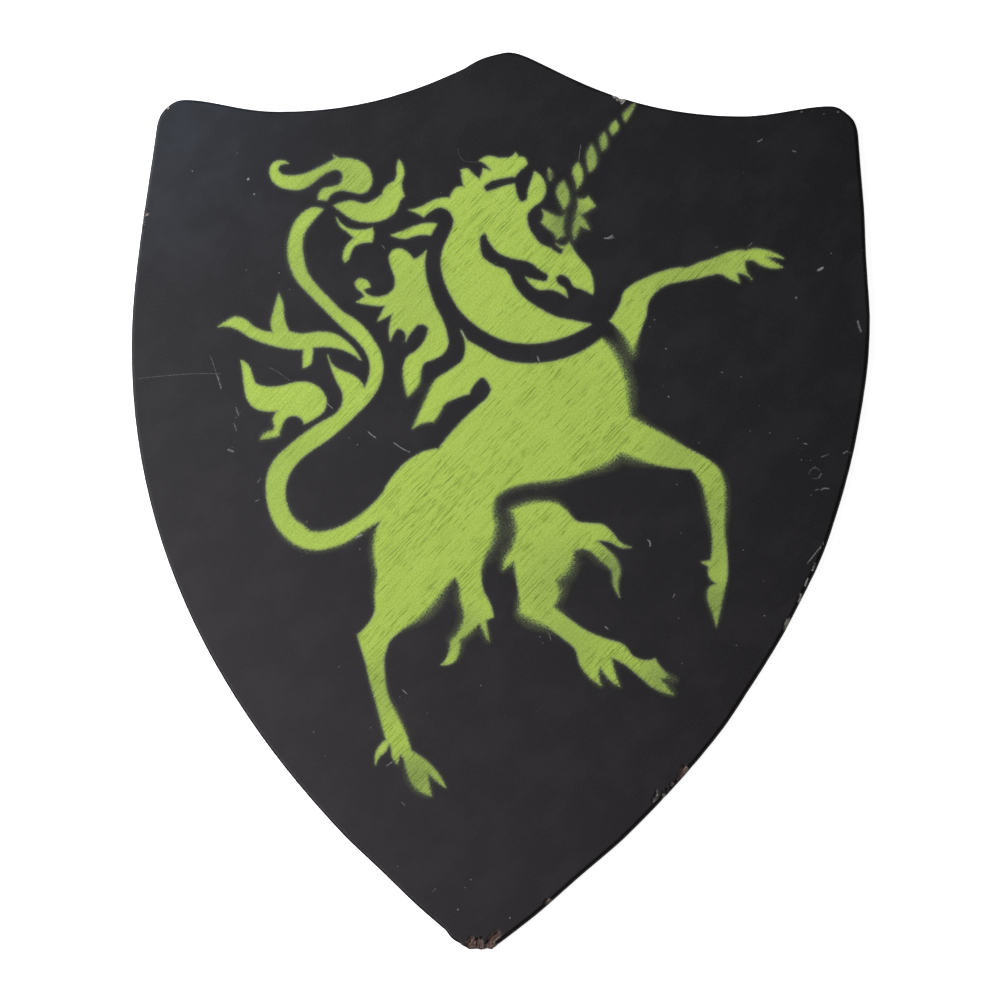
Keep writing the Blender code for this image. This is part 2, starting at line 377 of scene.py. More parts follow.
# Scratches and scuffs through the paint, and painted shade along the edges of the tears and chips:
# the line, its half width in mm and its strength, which is negative for a dark line.
scratchesAndEdgeShade = [
    ([(137, 379), (160, 376.5), (185, 374.5), (221, 374)], 0.30, 0.26),
    ([(210, 356), (216, 373), (221, 390)], 0.34, 0.34),
    ([(217, 376), (221, 388)], 0.5, 0.6),
    ([(269, 368), (276, 371), (283, 376), (290, 381)], 0.30, 0.3),
    ([(236, 408), (238.5, 416)], 0.7, 0.4),
    ([(234, 424), (236.5, 431)], 0.6, 0.4),
    ([(228, 450), (233, 452)], 1.0, 0.5),
    ([(368.5, 432), (372, 435.5), (376, 438)], 0.45, 0.8),
    ([(394, 443), (402, 448.5), (410, 452.5)], 0.42, 0.75),
    ([(327.5, 404), (333, 409)], 0.36, 0.6),
    ([(257.5, 483), (260.5, 479)], 0.34, 0.5),
    ([(255, 502), (259, 500)], 0.34, 0.5),
    ([(382, 245), (385, 249)], 0.34, 0.5),
    ([(458, 148), (465, 161), (473, 162), (480, 162)], 0.26, 0.2),
    ([(748, 247), (752, 243)], 0.34, 0.5),
    ([(716, 248), (718, 246.5)], 0.34, 0.5),
    ([(579, 160), (581, 145)], 0.3, 0.4),
    ([(402.5, 689.5), (407, 694)], 0.42, 0.6),
    ([(387, 765.5), (392.5, 762)], 0.5, 0.7),
    ([(402, 802), (405, 805)], 0.36, 0.5),
    ([(537.5, 356.5), (539, 361)], 0.5, 0.9),
    ([(540, 361), (543.5, 370)], 0.4, -0.9),
    ([(302, 392), (311, 393), (320, 394)], 0.3, -0.7),
    ([(345, 397), (352, 398), (360, 399.5)], 0.3, -0.7),
    ([(467, 562), (471, 564)], 0.4, -0.8),
    ([(604.5, 238.5), (609, 237.6), (612.5, 235.5)], 0.5, 0.9),
    ([(608, 239), (614, 237.5)], 0.42, 0.7),
    ([(461.5, 331), (464, 336), (467, 340)], 0.42, 0.8),
    ([(648, 540), (650, 543), (650, 546)], 0.6, 0.85),
    ([(758, 142), (762, 139.5)], 0.45, 0.8),
    ([(818, 270.5), (822.5, 268)], 1.0, 1.0),
    ([(814.5, 272), (819, 273.5)], 0.8, -0.9),
    ([(793, 151), (796, 152)], 0.45, 0.7),
    ([(605, 626.5), (608, 629)], 0.55, 0.65),
    ([(673, 597), (674.5, 594)], 0.45, 0.6),
    ([(356, 538), (362, 535)], 0.7, 0.95),
    ([(807, 563), (815, 553), (823, 543)], 0.4, 0.75),
    ([(813, 570), (813.5, 563)], 0.45, 0.8),
    ([(805, 585), (807, 578)], 0.45, 0.8),
    ([(799, 599), (801, 594)], 0.45, 0.8),
    ([(657, 790), (654, 800)], 0.4, 0.9),
    ([(857.5, 321.5), (858.5, 326), (860.5, 331.5)], 1.0, 0.5),
    ([(549, 634), (551, 640)], 0.4, 0.5),
    ([(808.5, 474), (811, 469.5), (815, 468), (819, 470)], 0.9, 0.24),
    ([(812, 478), (816, 478.5), (820, 476)], 0.9, 0.22),
    ([(818.5, 477.5), (821, 473.5)], 0.55, 0.5),
    ([(821, 489.8), (825, 488.2), (828, 488.8)], 0.8, 0.5),
    ([(815, 490), (818, 489.4)], 0.7, 0.34),
    ([(821, 457), (824, 456), (828, 454.5)], 0.6, 0.4),
    ([(843, 453.5), (846.5, 451.6), (850, 452.4)], 0.7, 0.42),
    ([(803.5, 443.5), (806.5, 444.2)], 0.6, 0.55),
    ([(432, 892), (436, 888)], 0.3, 0.35),
    ([(300.5, 174), (302.5, 176)], 0.4, -0.9),
    # painted shade: dark lines along the edges of the tears at the tip
    ([(461, 946), (464, 938), (468, 934)], 0.9, -0.8),
    ([(474, 934), (476, 938), (477, 934)], 0.8, -0.8),
    ([(481.5, 938), (487, 932), (493, 926.5)], 0.8, -0.9),
    ([(503.5, 930), (504, 936), (499, 942)], 0.8, -0.9),
    # painted shade: dark lines along the edges of the chips
    ([(675, 781), (678.5, 770), (683, 762)], 0.8, -0.9),
    ([(650.5, 803), (652.5, 795), (655, 788)], 0.7, -0.8),
    ([(677.5, 778), (682, 770), (686, 765)], 0.42, 0.5),
    ([(689, 769), (691, 771)], 0.42, 0.4),
    # painted shade: a dark line along the edge of a chip
    ([(661, 794), (664.5, 786), (668, 780)], 0.7, -0.8),
    ([(365, 212), (371, 213), (377, 214)], 0.3, -0.5),
    ([(497, 385), (506, 388), (515, 391)], 0.26, -0.4),
]

# Specks where the paint is knocked off: the place, and the radius in mm.
specks = [
    (248, 179, 1.2), (254, 194, 0.7), (279, 273, 0.55), (289.5, 289.5, 0.4), (314, 732, 0.5),
    (325, 756, 0.4), (339, 667, 0.4), (471, 879, 0.55), (458, 909, 0.75), (510, 917, 0.7),
    (548, 899, 0.4), (796, 298, 0.9), (654.5, 320, 0.5), (650, 327, 0.45), (666, 349, 0.55),
    (668.5, 397, 0.65), (663, 386, 0.4), (722, 372.5, 0.45), (699, 443, 0.45), (677, 484.5, 0.5),
    (681, 533, 0.5), (743, 550, 0.45), (678.5, 618, 0.45), (682, 663, 0.5), (736, 645, 0.5),
    (543, 643, 0.45), (357.5, 445, 0.5), (349.5, 438, 0.45), (360, 549.5, 0.5), (307, 522, 0.6),
    (307, 554, 0.4), (302, 556.5, 0.4), (481, 685.5, 0.5), (371, 728, 0.45), (427.5, 713, 0.4),
    (496, 263, 0.4), (509.5, 525, 0.5), (474, 622, 0.5), (759, 406, 0.45), (400, 697, 0.45),
    (398, 866, 0.4), (192, 171, 0.6), (237, 153, 0.4), (246, 270, 0.4), (797.5, 438.5, 0.45),
    (798, 453.5, 0.45), (801, 460, 0.5), (810, 460.5, 0.45), (814.5, 467, 0.5), (810.5, 495, 0.45),
    (802, 112, 0.5), (812, 110, 0.4), (824, 114, 0.5), (838, 112, 0.6), (845, 115, 0.4),
    (232, 448, 0.4), (236, 418, 0.45), (240, 413, 0.4), (403, 342, 0.4), (441, 193, 0.35),
    (340, 179, 0.4), (465, 887, 0.4), (586, 324, 0.5), (590, 323, 0.5), (583, 326, 0.4),
    (540, 637, 0.45), (466, 941, 0.4), (769.5, 433, 0.5), (764, 615.5, 0.55), (750, 431, 0.4),
    (743.5, 172.5, 0.4), (763, 581, 0.4), (831, 253.5, 0.5), (862, 250.5, 0.5), (867, 296, 0.5),
    (722, 372.5, 0.5), (741, 377, 0.5),
]

# Chips and tears: the corners of each, its depth in mm, the way its fibres run in degrees, and
# how brown (1), grey (0) or bleached (below 0) the wood is. Those that cross the rim run out past it.
damage = {
    "tearLeft": (
        [(464.5, 951), (467.5, 941.5), (470, 936.5), (473, 935.5), (474.3, 939), (475.6, 942),
         (475.8, 951)], 1.4, 62, 0.9),
    "tearMiddle": (
        [(475.9, 951), (475.6, 941), (477, 936.5), (479.5, 937.5), (481, 935.8), (482.6, 940.5),
         (483.8, 951)], 1.4, 84, 0.75),
    "tearRight": (
        [(483.6, 951), (484.8, 944), (488, 938.5), (491.5, 934), (494.5, 932.4), (497, 929),
         (500.2, 931), (500.8, 934.6), (496.5, 939.5), (492.5, 944), (490.6, 951)], 1.4, 50, 0.8),
    "chipLong": (
        [(683.6, 763.6), (686.4, 766.2), (691.5, 769), (682, 785), (676.6, 780), (677.4, 775.5),
         (680, 769.5)], 1.5, 62, 0.7),
    "chipMiddle": (
        [(671.5, 780.5), (674.5, 783.5), (672.2, 787), (670.8, 785.4), (669.4, 784.6)], 0.8, 50, 0.0),
    "chipMiddleLow": (
        [(667, 785.6), (668.4, 788.2), (670, 789.8), (667.4, 793.4), (665.6, 790.6)], 0.8, 50, 0.0),
    "chipMiddleTip": ([(664, 789.4), (664.8, 792), (664.4, 796.4), (661.6, 794.6)], 0.7, 50, 0.0),
    "chipShort": (
        [(656.2, 789.6), (658.2, 795), (655, 799.5), (652, 803.5), (651.6, 799), (654.2, 795.5)],
        0.8, 60, 0.0),
    "chipTip": ([(546, 898.5), (550.5, 897.5), (552, 899), (546, 903.5), (543.5, 902)], 0.7, 45, 0.2),
    "chipSide": ([(811, 570.2), (813.9, 562), (815.2, 562.6), (812.4, 570.8)], 0.4, 66, -0.45),
    "chipSideLow": ([(803.8, 586), (807.7, 577.6), (809, 578.2), (805.1, 586.7)], 0.4, 66, -0.45),
    "chipSideLowest": ([(796.6, 601.4), (799.9, 593.6), (801.2, 594.3), (798, 602)], 0.4, 66, -0.45),
    "sliverRight": (
        [(782, 627.5), (785, 621.5), (788.5, 617), (793, 619), (786, 630)], 0.4, 60, -0.35),
    "notchByHorn": (
        [(611.5, 88), (612.5, 96.5), (615.5, 98.5), (617.2, 101), (620, 101.5), (622, 104), (624, 102),
         (625.5, 101), (627, 98.5), (628, 90)], 0.8, 47, -0.6),
    "nickLeft": (
        [(140, 208), (146.5, 209.5), (149, 212), (147, 215), (140, 217)], 1.0, 47, -0.1),
    "nickLeftLow": (
        [(138, 221), (144, 222), (145, 225.5), (143, 228), (137, 229)], 1.0, 47, -0.1),
    "wornEar": (
        [(163, 103), (167.5, 105.6), (168.6, 108), (166.4, 109.4), (161, 108)], 0.5, 47, -0.2),
}

# Where the outline itself is worn, or was sawn shy or proud: the place, half the length along the
# rim and the bite into it, both in mm.
rimBites = [
    ((620, 99), 2.6, 0.9), ((613.5, 96), 1.4, 0.4), ((623.5, 100), 0.9, 0.4),
    ((452.5, 937), 7.0, -1.3), ((457.5, 941), 0.8, 0.5), ((460.5, 945), 3.0, -0.8),
    ((382, 870), 30.0, 0.7), ((167, 104), 7.0, 0.4), ((847, 110), 7.0, 0.7),
    ((481, 61), 12.0, -0.9), ((139, 212), 1.6, 0.45), ((138.5, 226), 1.5, 0.4),
    ((139, 437), 0.9, 0.5), ((664, 798), 2.4, 0.4), ((866, 262), 34.0, 0.8),
    ((858, 430), 44.0, 0.9), ((838, 505), 40.0, 0.9), ((796, 610), 46.0, 1.2),
    ((757, 680), 34.0, 1.1), ((578, 876), 34.0, 0.9),
]

# The board's sizes, in mm.
boardMm = {
    "spacing": 1.2,        # of the places along the rim
    "fineSpacing": 0.5,        # beside the damage
    "fineReach": 7.0,
    "step": 0.1,        # in which the outline is read
    "softening": 4.1,        # length that the corners of the outline are softened over
    "sharpTip": 4.0,        # height of the tip over which they turn sharp
    "waviness": 0.10,        # left by the saw
    "waveLength": 6.0,
    "rounding": 1.0,        # sanded edge of face and back
    "roundingSpread": 0.25,
    "roundingWave": 22.0,        # length over which the rounding changes
    "roundingSteps": 3,        # a number of rings
    "landing": 0.9,        # from the rounding to the first ring of the flat face
    "side": (1.0, 5.0),        # heights of the sawn side
    "glueLines": (1.4, 2.5, 3.5, 4.6),        # heights of the glue lines between the plies
    "glueGroove": 0.10,
    "glueWave": 9.0,
    "breakHeight": 3.0,        # of the broken tip, up from the lowest point of the board
    "breakHalfWidth": 10.5,
    "breakEdge": 0.12,        # rounding that is left where the tip broke
    "breakRoughness": 0.55,
    "breakWave": 0.9,
    "breakFibre": 0.7,
    "wall": 0.38,        # width of the slope down into a chip
    "raggedness": 0.45,        # of its floor
    "fibreLength": 4.0,
    "bareRim": 0.25,        # the paint is gone this far round a chip
    "sprayReach": 14,        # how far from an edge the spray's distance is worked out
    "edgeSpacing": 1.1,        # of the mesh along the sprayed edges
    "rails": (-2.3, -0.8, 0.8, 2.3),        # beside the sprayed edges
    "markSpacing": 0.8,        # along the scratches
    "chipSpacing": 0.4,        # along the edges of the chips
    "damageFill": 0.42,
    "damageJitter": 0.1,
    "nearFill": 2.1,
    "nearReach": 5.0,        # either side of a sprayed edge
    "farFill": 4.6,
    "backFill": 9.0,
    "closest": 0.38,
    "closestMark": 0.22,
    "closestToRim": 0.25,
}


def smoothRun(points, spacing):
    # one smooth curve through the points, each joined to the next by a Bezier
    points = [Vector((*p, 0)) for p in points]
    if len(points) == 2:
        slopes = [(points[1] - points[0]).normalized()] * 2
    else:
        slopes = []
        for before, here, after in zip(points, points[1:], points[2:]):
            come, go = here - before, after - here
            slopes.append((come / come.length * go.length + go / go.length * come.length)
                          / (come.length + go.length))
        first, last = points[1] - points[0], points[-1] - points[-2]
        slopes.insert(0, first / first.length * 2 - slopes[0])
        slopes.append(last / last.length * 2 - slopes[-1])
    made = []
    for here, after, leave, arrive in zip(points, points[1:], slopes, slopes[1:]):
        third = (after - here).length / 3
        steps = max(1, round((after - here).length / spacing))
        made += interpolate_bezier(here, here + leave * third, after - arrive * third, after,
                                   steps + 1)[1:]
    return [(p.x, p.y) for p in made]


def loopOf(strokes, spacing):
    start = onBoard(*strokes[-1][-1])
    made = []
    for stroke in strokes:
        points = [start] + [onBoard(*p) for p in stroke]
        made += smoothRun(points, spacing)
        start = points[-1]
    return np.array(made)


def pathOf(line):
    points = [onBoard(*p) for p in line]
    return np.array(points[:1] + smoothRun(points, boardMm["markSpacing"] * mm))


def distanceInside(loop, spots):
    # how far each spot is inside the closed loop, negative outside
    start, end = loop, np.roll(loop, -1, axis=0)
    run = end - start
    runSquared = (run ** 2).sum(1)
    rise = np.where(np.abs(run[:, 1]) < 1e-12, 1e-12, run[:, 1])
    made = np.empty(len(spots))
    batch = 3000        # spots at a time, to spare memory
    for first in range(0, len(spots), batch):
        spot = spots[first:first + batch, None]
        away = spot - start
        share = np.clip((away * run).sum(2) / runSquared, 0, 1)
        near = np.sqrt(((away - run * share[..., None]) ** 2).sum(2).min(1))
        crosses = (start[:, 1] > spot[..., 1]) != (end[:, 1] > spot[..., 1])
        left = spot[..., 0] < start[:, 0] + away[..., 1] / rise * run[:, 0]
        inside = (crosses & left).sum(1) % 2 == 1
        made[first:first + batch] = np.where(inside, near, -near)
    return made


def sprayDistance(openings, spots):
    reach = boardMm["sprayReach"] * mm
    made = np.full(len(spots), -reach)
    for loop in openings:
        close = ((spots > loop.min(0) - reach) & (spots < loop.max(0) + reach)).all(1)
        made[close] = np.maximum(made[close], distanceInside(loop, spots[close]))
    return made


def distanceToLine(line, spots):
    best = np.full(len(spots), 1.0)
    for start, end in zip(line, line[1:]):
        run = end - start
        share = np.clip(((spots - start) @ run) / (run @ run), 0, 1)
        best = np.minimum(best, np.linalg.norm(spots - start - share[:, None] * run, axis=1))
    return best


def awayFrom(place, spots):
    return np.linalg.norm(spots - np.array(onBoard(*place)), axis=1)


def outwardOf(loop, reach):
    ahead = np.roll(loop, -reach, axis=0) - np.roll(loop, reach, axis=0)
    ahead /= np.linalg.norm(ahead, axis=1)[:, None]
    return np.stack([ahead[:, 1], -ahead[:, 0]], axis=1)


def turnOf(loop):
    # 1 for a loop that runs counter-clockwise, seen from the front, and -1 for the other way
    ahead = np.roll(loop, -1, axis=0)
    return 1 if (loop[:, 0] * ahead[:, 1] - ahead[:, 0] * loop[:, 1]).sum() > 0 else -1


def fieldNoise(x, y, scale, seed=0.0):
    return np.array([noise.noise(Vector((a / scale, b / scale, seed))) for a, b in zip(x, y)])


def boardOutline():
    # the outline is read off the frame's own board, cut half way up, so the piece fits it
    build = bmesh.new()
    build.from_mesh(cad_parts["shield_board"].data)
    bmesh.ops.remove_doubles(build, verts=build.verts, dist=1e-6)
    cut = bmesh.ops.bisect_plane(build, geom=build.verts[:] + build.edges[:] + build.faces[:],
                                 plane_co=(0, 0, boardTop / 2), plane_no=(0, 0, 1))
    ways = {}
    for edge in cut["geom_cut"]:
        if isinstance(edge, bmesh.types.BMEdge):
            for vert in edge.verts:
                ways.setdefault(vert, []).append(edge)
    start = max(ways, key=lambda v: v.co.y)
    loop, vert, edge = [], start, ways[start][0]
    while vert is not start or not loop:
        loop.append((vert.co.x, vert.co.y))
        vert = edge.other_vert(vert)
        edge = ways[vert][0] if ways[vert][1] is edge else ways[vert][1]
    build.free()
    loop = np.array(loop)
    return loop[::turnOf(loop)]


def resample(loop, fineSpots):
    # even steps along the loop, finer beside the damage, with its corners softened
    step = boardMm["step"] * mm
    closed = np.vstack([loop, loop[:1]])
    along = np.concatenate([[0], np.cumsum(np.linalg.norm(np.diff(closed, axis=0), axis=1))])
    steps = np.arange(0, along[-1], step)
    even = np.stack([np.interp(steps, along, closed[:, i]) for i in (0, 1)], axis=1)
    width = round(boardMm["softening"] / boardMm["step"])
    padded = np.vstack([even[-(width // 2):], even, even[:width // 2]])
    evenly = np.full(width, 1 / width)
    soft = np.stack([np.convolve(padded[:, i], evenly, "valid") for i in (0, 1)], axis=1)
    offBreak = np.clip((even[:, 1] - boardFoot) / (boardMm["sharpTip"] * mm) - 0.4, 0, 1)[:, None]
    even = soft * offBreak + even * (1 - offBreak)
    gap = np.min([np.linalg.norm(even - spot, axis=1) for spot in fineSpots], axis=0)
    isNear = gap < boardMm["fineReach"] * mm
    wanted = np.where(isNear, boardMm["fineSpacing"] * mm, boardMm["spacing"] * mm)
    count = np.cumsum(step / wanted)
    return even[np.searchsorted(count, np.arange(0, count[-1], 1.0))]


def wornRim(fineSpots):
    # the places along the rim with the saw's waves and what was worn off, and the ways outward
    rim = resample(boardOutline(), fineSpots)
    outward = outwardOf(rim, 3)
    wave = fieldNoise(rim[:, 0], rim[:, 1], boardMm["waveLength"] * mm) * 0.5 + 0.5
    bite = wave * boardMm["waviness"]
    for place, half, depth in rimBites:
        away = awayFrom(place, rim) / (half * mm)
        bite = bite + depth * np.clip(1 - away ** 2, 0, 1) ** 2
    print("rim of the board:", len(rim), "places")
    return rim - outward * (bite * mm)[:, None], outward


def rimRings(rim, outward):
    # the rings of the rim, from the flat back up over the sawn side to the flat face
    broken = np.clip((boardFoot + boardMm["breakHeight"] * mm - rim[:, 1]) / (0.6 * mm), 0, 1)
    spread = fieldNoise(rim[:, 0], rim[:, 1], boardMm["roundingWave"] * mm, 3)
    rounding = boardMm["rounding"] + boardMm["roundingSpread"] * spread
    rounding = (rounding * (1 - broken) + boardMm["breakEdge"] * broken) * mm
    landing = rounding + boardMm["landing"] * mm
    turns = [math.pi / 2 * step / boardMm["roundingSteps"] for step in range(boardMm["roundingSteps"] + 1)]
    rows = [(landing, np.zeros(len(rim)))]
    rows += [(rounding * (1 - math.sin(turn)), rounding * (1 - math.cos(turn))) for turn in turns]
    stops = (boardMm["side"][0],) + boardMm["glueLines"] + (boardMm["side"][1],)
    heights = [height for low, high in zip(stops, stops[1:]) for height in ((low + high) / 2, high)]
    for height in heights[:-1]:
        groove = fieldNoise(rim[:, 0], rim[:, 1], boardMm["glueWave"] * mm, height) * 0.5 + 0.6
        ply = fieldNoise(rim[:, 0], rim[:, 1], boardMm["breakWave"] * mm, height * 3)
        inset = groove * boardMm["glueGroove"] * mm if height in boardMm["glueLines"] else 0 * groove
        inset = inset + broken * np.clip(ply + 0.35, 0, 1) * boardMm["breakRoughness"] * mm
        rows.append((inset, np.full(len(rim), height * mm)))
    rows += [(rounding * (1 - math.cos(turn)), boardTop - rounding * (1 - math.sin(turn)))
             for turn in turns]
    rows.append((landing, np.full(len(rim), boardTop)))
    print("rim rows:", len(rows))
    return [np.column_stack([rim - outward * inset[:, None], height]) for inset, height in rows]


def offsetGrid(low, high, spacing, rowSpacing, jitter, seed):
    # points in rows, every second row half a step along, and each point moved a little
    xs = np.arange(low[0], high[0], spacing)
    ys = np.arange(low[1], high[1], rowSpacing)
    grid = np.array([(x + (row % 2) * spacing / 2, y) for row, y in enumerate(ys) for x in xs])
    return grid + np.random.default_rng(seed).uniform(-jitter, jitter, grid.shape)


def hexFill(spacing, seed):
    return offsetGrid(boardLow, boardHigh, spacing, spacing * math.sqrt(3) / 2, 0.18 * spacing, seed)


def keepApart(spots, closest, taken):
    # drops every spot that lies too close to one before it, or to one that is taken
    kept, cells = [], {}
    for index, (x, y) in enumerate(np.vstack([taken, spots])):
        column, row = int(x // closest), int(y // closest)
        around = [(column + i, row + j) for i in (-1, 0, 1) for j in (-1, 0, 1)]
        near = [spot for cell in around for spot in cells.get(cell, ())]
        isNew = index >= len(taken)
        if isNew and any((x - a) ** 2 + (y - b) ** 2 < closest ** 2 for a, b in near):
            continue
        cells.setdefault((column, row), []).append((x, y))
        if isNew:
            kept.append((x, y))
    return np.array(kept)


def facePoints(openings, chips, ring):
    # the points of the flat face, set along the sprayed edges, the scratches and the damage
    turns = np.arange(6) * math.pi / 3
    hexagon = np.stack([np.cos(turns), np.sin(turns)], axis=1)
    marks = []
    for line, width, _ in scratchesAndEdgeShade:
        path = pathOf(line)
        run = np.gradient(path, axis=0)
        side = np.stack([-run[:, 1], run[:, 0]], axis=1) / np.linalg.norm(run, axis=1)[:, None]
        width = max(width, leastMarkMm)
        marks += [path, path + side * width * mm, path - side * width * mm]
        marks += [path[0] + hexagon * width * mm, path[-1] + hexagon * width * mm]
    for x, y, radius in specks:
        middle = np.array(onBoard(x, y))
        marks += [middle[None], middle + max(radius, leastMarkMm) * mm * hexagon]
    wanted = []
    fill = boardMm["damageFill"] * mm
    for loop in chips.values():
        sides = []
        for start, end in zip(loop, np.roll(loop, -1, axis=0)):
            steps = max(2, int(np.linalg.norm(end - start) / (boardMm["chipSpacing"] * mm)))
            sides.append(np.linspace(start, end, steps, endpoint=False))
        edge = np.vstack(sides)
        wanted += [edge, edge - outwardOf(edge, 1) * turnOf(loop) * boardMm["wall"] * mm]
        wanted.append(offsetGrid(loop.min(0) - 1 * mm, loop.max(0) + 1 * mm, fill, fill,
                                 boardMm["damageJitter"] * mm, 8))
    for loop in openings:
        out = outwardOf(loop, 1)
        wanted.append(loop)
        wanted += [loop - out * rail * mm for rail in boardMm["rails"]]
    near = hexFill(boardMm["nearFill"] * mm, 1)
    near = near[np.abs(sprayDistance(openings, near)) < boardMm["nearReach"] * mm]
    far = hexFill(boardMm["farFill"] * mm, 2)
    batches = (
        (np.vstack(marks), boardMm["closestMark"]), (np.vstack(wanted), boardMm["closest"]),
        (near, boardMm["nearFill"] * 0.55), (far, boardMm["farFill"] * 0.5),
    )
    taken = ring
    for spots, closest in batches:
        taken = np.vstack([taken, keepApart(spots, closest * mm, taken)])
    spots = taken[len(ring):]
    spots = spots[distanceInside(ring, spots) > boardMm["closestToRim"] * mm]
    print("face points:", len(spots))
    return spots


def flatSheet(ring, spots, height, ringStart, spotStart):
    # triangles over a ring and the spots inside it, with the numbers that the points get on the board
    flat = [Vector(p) for p in np.vstack([ring, spots])]
    made, _, triangles, _, _, _ = delaunay_2d_cdt(flat, [], [list(range(len(ring)))], 1, 1e-7)
    made = np.array([tuple(p) for p in made[len(ring):]])
    numbers = np.append(ringStart + np.arange(len(ring)), spotStart + np.arange(len(made))).tolist()
    return (np.column_stack([made, np.full(len(made), height)]),
            [tuple(numbers[i] for i in triangle) for triangle in triangles])


def sinkDamage(points, chips):
    # Chips and tears sink the face to the next ply, with ragged fibres on their floors. Gives back
    # where the wood is bare, how brown it is, its fibres and the way that they run.
    flat = points[:, :2]
    bare, brown, grainTurn = np.zeros((3, len(points)))
    fibre = np.full(len(points), 0.5)
    for name, (_, depth, grain, tone) in damage.items():
        loop = chips[name]
        isClose = ((flat > loop.min(0) - 2 * mm) & (flat < loop.max(0) + 2 * mm)).all(1)
        close = np.nonzero(isClose & (points[:, 2] > 2.5 * mm))[0]
        inside = distanceInside(loop, flat[close])
        turn = math.radians(grain)
        alongGrain = flat[close] @ np.array([math.cos(turn), math.sin(turn)])
        acrossGrain = flat[close] @ np.array([-math.sin(turn), math.cos(turn)])
        fibres = fieldNoise(alongGrain, acrossGrain * 8, boardMm["fibreLength"] * mm, 11)
        sink = np.clip((inside + 0.05 * mm) / (boardMm["wall"] * mm), 0, 1)
        floor = boardTop - sink * (depth + boardMm["raggedness"] * fibres) * mm
        points[close, 2] = np.minimum(points[close, 2], floor)
        gone = np.clip((inside + boardMm["bareRim"] * mm) / (0.3 * mm), 0, 1)
        bare[close] = np.maximum(bare[close], gone)
        brown[close] = np.where(sink > 0, tone, brown[close])
        fibre[close] = np.where(sink > 0, fibres * 0.9 + 0.5, fibre[close])
        grainTurn[close] = np.where(sink > 0, turn, grainTurn[close])
    onBreak = flat[:, 1] < boardFoot + boardMm["breakHeight"] * mm
    onBreak &= np.abs(flat[:, 0]) < boardMm["breakHalfWidth"] * mm
    onBreak &= (points[:, 2] > 0.05 * mm) & (points[:, 2] < boardTop - 0.05 * mm)
    bare[onBreak] = np.maximum(bare[onBreak], 0.9)
    brown[onBreak] = 0.8
    plies = fieldNoise(points[onBreak, 0], points[onBreak, 2], boardMm["breakFibre"] * mm, 5)
    fibre[onBreak] = plies * 0.8 + 0.5
    return {"bareWood": bare, "brownWood": brown, "fibre": fibre, "grainTurn": grainTurn}


def sprayedPlaces(points, openings):
    # how far inside its opening each point lies, how soft the sprayed edge is there and how thin
    # the spray, what is scraped off or rubbed dark, and the painted shade along the tears and chips
    flat = points[:, :2]
    onFace = points[:, 2] > boardTop - 3.2 * mm
    spray = sprayDistance(openings, flat) / mm
    spray[~onFace] = -boardMm["sprayReach"]
    soft = np.full(len(points), crispMm)
    for place, reach, width in softPlaces.values():
        away = awayFrom(place, flat) / (reach * photoFrame["unit"])
        soft = soft + (width - crispMm) * np.clip(1.25 - away, 0, 1)
    soft = np.minimum(soft, softestMm)
    thin = np.zeros(len(points))
    for place, reach, share in thinPlaces.values():
        away = awayFrom(place, flat) / (reach * photoFrame["unit"])
        thin = np.maximum(thin, share * np.clip(1.4 - away * 1.4, 0, 1))
    scuff = np.zeros(len(points))
    for line, width, strength in scratchesAndEdgeShade:
        away = distanceToLine(pathOf(line), flat)
        mark = np.clip(1 - away / (max(width, leastMarkMm) * mm), 0, 1) * strength
        scuff = np.where(np.abs(mark) > np.abs(scuff), mark, scuff)
    for x, y, radius in specks:
        mark = np.clip(1 - awayFrom((x, y), flat) / (max(radius, leastMarkMm) * mm), 0, 1)
        scuff = np.maximum(scuff, mark * min(1, 0.35 + radius))
    scuff[~onFace] = 0
    return {"sprayMm": spray, "softMm": soft, "thin": thin, "scuff": scuff}


def makeBoard():
    chips = {name: np.array([onBoard(*p) for p in corners]) for name, (corners, _, _, _) in damage.items()}
    openings = [loopOf(strokes, boardMm["edgeSpacing"] * mm) for strokes in stencil.values()]
    rim, outward = wornRim([loop.mean(0) for loop in chips.values()])
    rings = rimRings(rim, outward)
    count = len(rim)
    faces = []
    for row in range(len(rings) - 1):
        for i in range(count):
            low, ahead = row * count + i, row * count + (i + 1) % count
            faces.append((low, ahead, ahead + count, low + count))

    frontRing, backRing = rings[-1][:, :2], rings[0][:, :2]
    frontStart = len(rings) * count
    spots = facePoints(openings, chips, frontRing)
    front, triangles = flatSheet(frontRing, spots, boardTop, frontStart - count, frontStart)
    faces += triangles
    firstBack = len(faces)
    spots = hexFill(boardMm["backFill"] * mm, 4)
    spots = spots[distanceInside(backRing, spots) > boardMm["backFill"] * 0.4 * mm]
    back, triangles = flatSheet(backRing, spots, 0.0, 0, frontStart + len(front))
    faces += [triangle[::-1] for triangle in triangles]
    points = np.vstack(rings + [front, back])
    print("board:", len(points), "points")

    torn = sinkDamage(points, chips)
    mesh = bpy.data.meshes.new("shieldBoard")
    mesh.from_pydata([tuple(p) for p in points], [], faces)
    for name, values in (sprayedPlaces(points, openings) | torn).items():
        attribute = mesh.attributes.new(name, "FLOAT", "POINT")
        attribute.data.foreach_set("value", values.astype(np.float32))
    build = bmesh.new()
    build.from_mesh(mesh)
    bmesh.ops.recalc_face_normals(build, faces=build.faces)
    build.to_mesh(mesh)
    build.free()
    mesh.shade_smooth()
    mesh.set_sharp_from_angle(angle=math.radians(38))

    # the face is the first material, the sawn side the second and the back the third; the front's
    # sanded edge is as matt as the side
    kinds = np.zeros(len(mesh.polygons), dtype=np.int32)
    firstSide, lastSide = boardMm["roundingSteps"] * count, (len(rings) - 3) * count
    kinds[:firstSide] = 2
    kinds[firstSide:lastSide] = 1
    kinds[firstBack:] = 2
    for material in (sprayedLauan(), soakedEdge(), brushedBack()):
        mesh.materials.append(material)
    mesh.polygons.foreach_set("material_index", kinds)
    board = bpy.data.objects.new("shieldBoard", mesh)
    bpy.context.scene.collection.objects.link(board)
    return board


